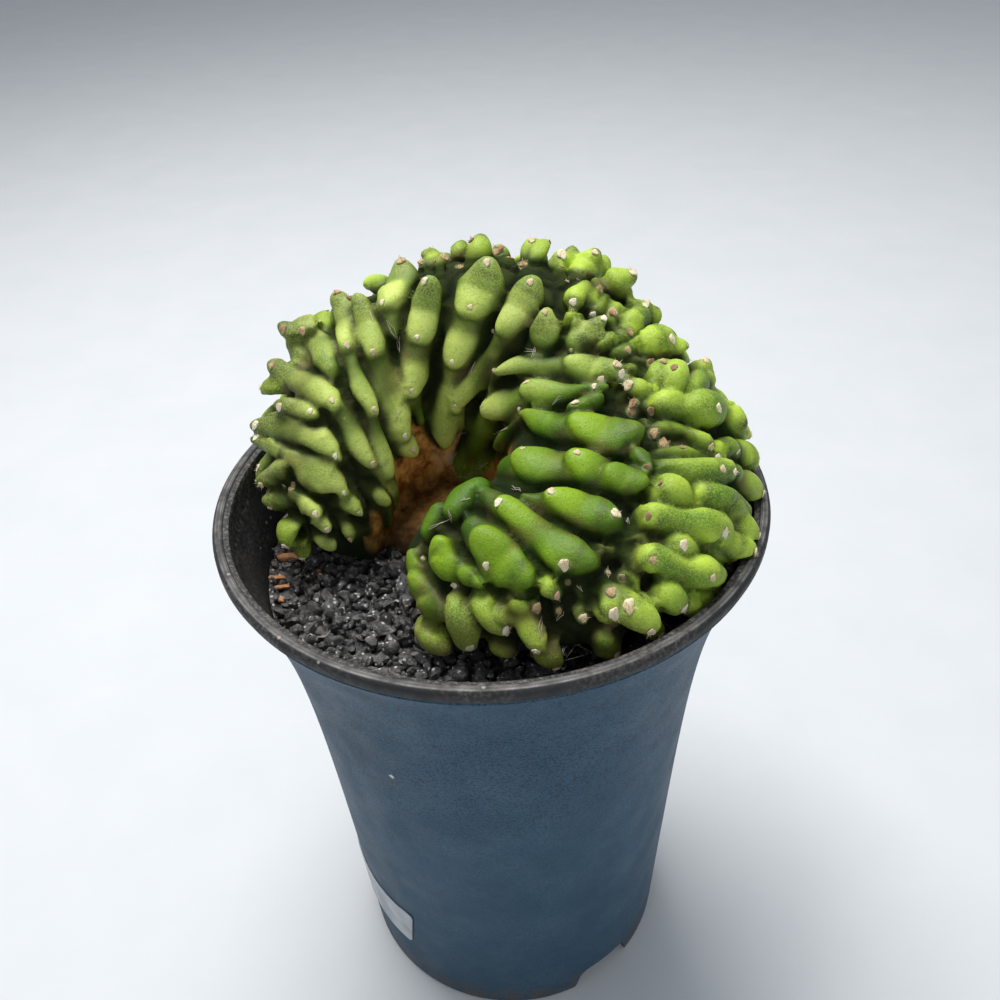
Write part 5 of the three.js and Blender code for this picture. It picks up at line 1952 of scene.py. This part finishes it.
def make_root_threads(chance, material):
    """Loose pale roots that wander over the gravel."""
    threads = []
    for x, y, heading, length in ROOT_THREADS:
        turn = math.radians(heading)
        places = []
        for step in range(7):
            z = soil_height(x) + 1.4 + 0.8 * math.sin(step * 1.1) + 0.4 * chance.random()
            places.append((x, y, z))
            turn += chance.uniform(-0.9, 0.9)
            x += length / 6 * math.cos(turn)
            y += length / 6 * math.sin(turn)
        threads.append(make_thread("thread", places, ROOT_THREAD_RADIUS))
    piece = join(threads, "root_threads")
    shade_smooth(piece)
    return finish_piece(piece, "soil", "gravel", material)


def thread_material():
    material, tree, shader = new_material("root_thread", Specular_IOR_Level=0.3)
    coords = object_coords(tree)
    colour = mix(tree, noise(tree, coords, 500.0), srgb(150, 136, 116), srgb(226, 220, 204))
    rough = ramp(tree, noise(tree, coords, 900.0), 0.3, 0.7, 0.6, 0.8)
    feed(tree, shader, colour, rough, noise(tree, coords, 2500.0), 0.05)
    return material


# Stage, light and camera

def make_stage():
    deselect_all()
    bpy.ops.mesh.primitive_plane_add(size=6000 * MM, location=(0, 0, -0.2 * MM))
    floor = newest("floor")
    bpy.ops.object.transform_apply()
    material, tree, shader = new_material("pale_floor", Specular_IOR_Level=0.2)
    coords = object_coords(tree)
    colour = mix(tree, noise(tree, coords, 30.0, 4.0), srgb(206, 210, 214), srgb(216, 219, 222))
    rough = ramp(tree, noise(tree, coords, 200.0), 0.3, 0.7, 0.75, 0.85)
    feed(tree, shader, colour, rough)
    floor.data.materials.append(material)
    world = bpy.data.worlds.new("studio")
    world.use_nodes = True
    world.node_tree.nodes["Background"].inputs["Color"].default_value = (0.86, 0.92, 1.0, 1.0)
    world.node_tree.nodes["Background"].inputs["Strength"].default_value = 0.35
    bpy.context.scene.world = world
    bpy.context.scene.view_settings.view_transform = "Standard"


def add_area_light(name, place, target, size, power, colour):
    light = bpy.data.lights.new(name, "AREA")
    light.shape = "RECTANGLE"
    light.size, light.size_y = [side * MM for side in size]
    light.energy = power
    light.color = colour
    lamp = bpy.data.objects.new(name, light)
    bpy.context.scene.collection.objects.link(lamp)
    lamp.location = Vector(place) * MM
    lamp.rotation_euler = (Vector(target) - Vector(place)).to_track_quat("-Z", "Y").to_euler()


def make_camera():
    camera = bpy.data.cameras.new("view")
    camera.lens = 36.0
    camera.sensor_width = 36.0
    camera.sensor_fit = "HORIZONTAL"
    camera.clip_start = 10 * MM
    holder = bpy.data.objects.new("view", camera)
    bpy.context.scene.collection.objects.link(holder)
    axes = Matrix([list(axis) for axis in camera_axes()]).transposed()
    holder.matrix_world = Matrix.Translation(Vector(CAMERA_PLACE) * MM) @ axes.to_4x4()
    bpy.context.scene.camera = holder


def build():
    make_camera()
    make_stage()
    target = (0, 0, 120)
    add_area_light("overhead", (-120, 220, 850), target, (500, 500), 9.0, (1.0, 0.985, 0.96))
    add_area_light("front_fill", (350, -900, 500), target, (800, 600), 2.0, (0.94, 0.97, 1.0))
    chance = random.Random(SEED)
    make_pot(pot_blue_material(), pot_black_material())
    make_label(label_material())
    pieces, traced, by_rule, laid = grow_ribs(chance)
    skin = make_skin(pieces, laid)
    surface = surface_of(skin)
    seat_by_rule(surface, by_rule)
    areoles = seen_areoles(surface)
    areoles += [Areole(tip.place, tip.facing, tip.ahead, PAD_SIZE[tip.kind], tip.kind) for tip in by_rule]
    dress_skin(skin, traced + by_rule, areoles, laid)
    shade_smooth(skin)
    finish_piece(skin, "cactus", "cactus_skin", skin_material())
    make_areoles(areoles, chance, wool_material())
    stone = gravel_material()
    make_bed(stone)
    make_gravel(skin, chance, stone)
    fibre = thread_material()
    make_fibres(surface, chance, fibre)
    make_root_threads(chance, fibre)
    deselect_all()


build()
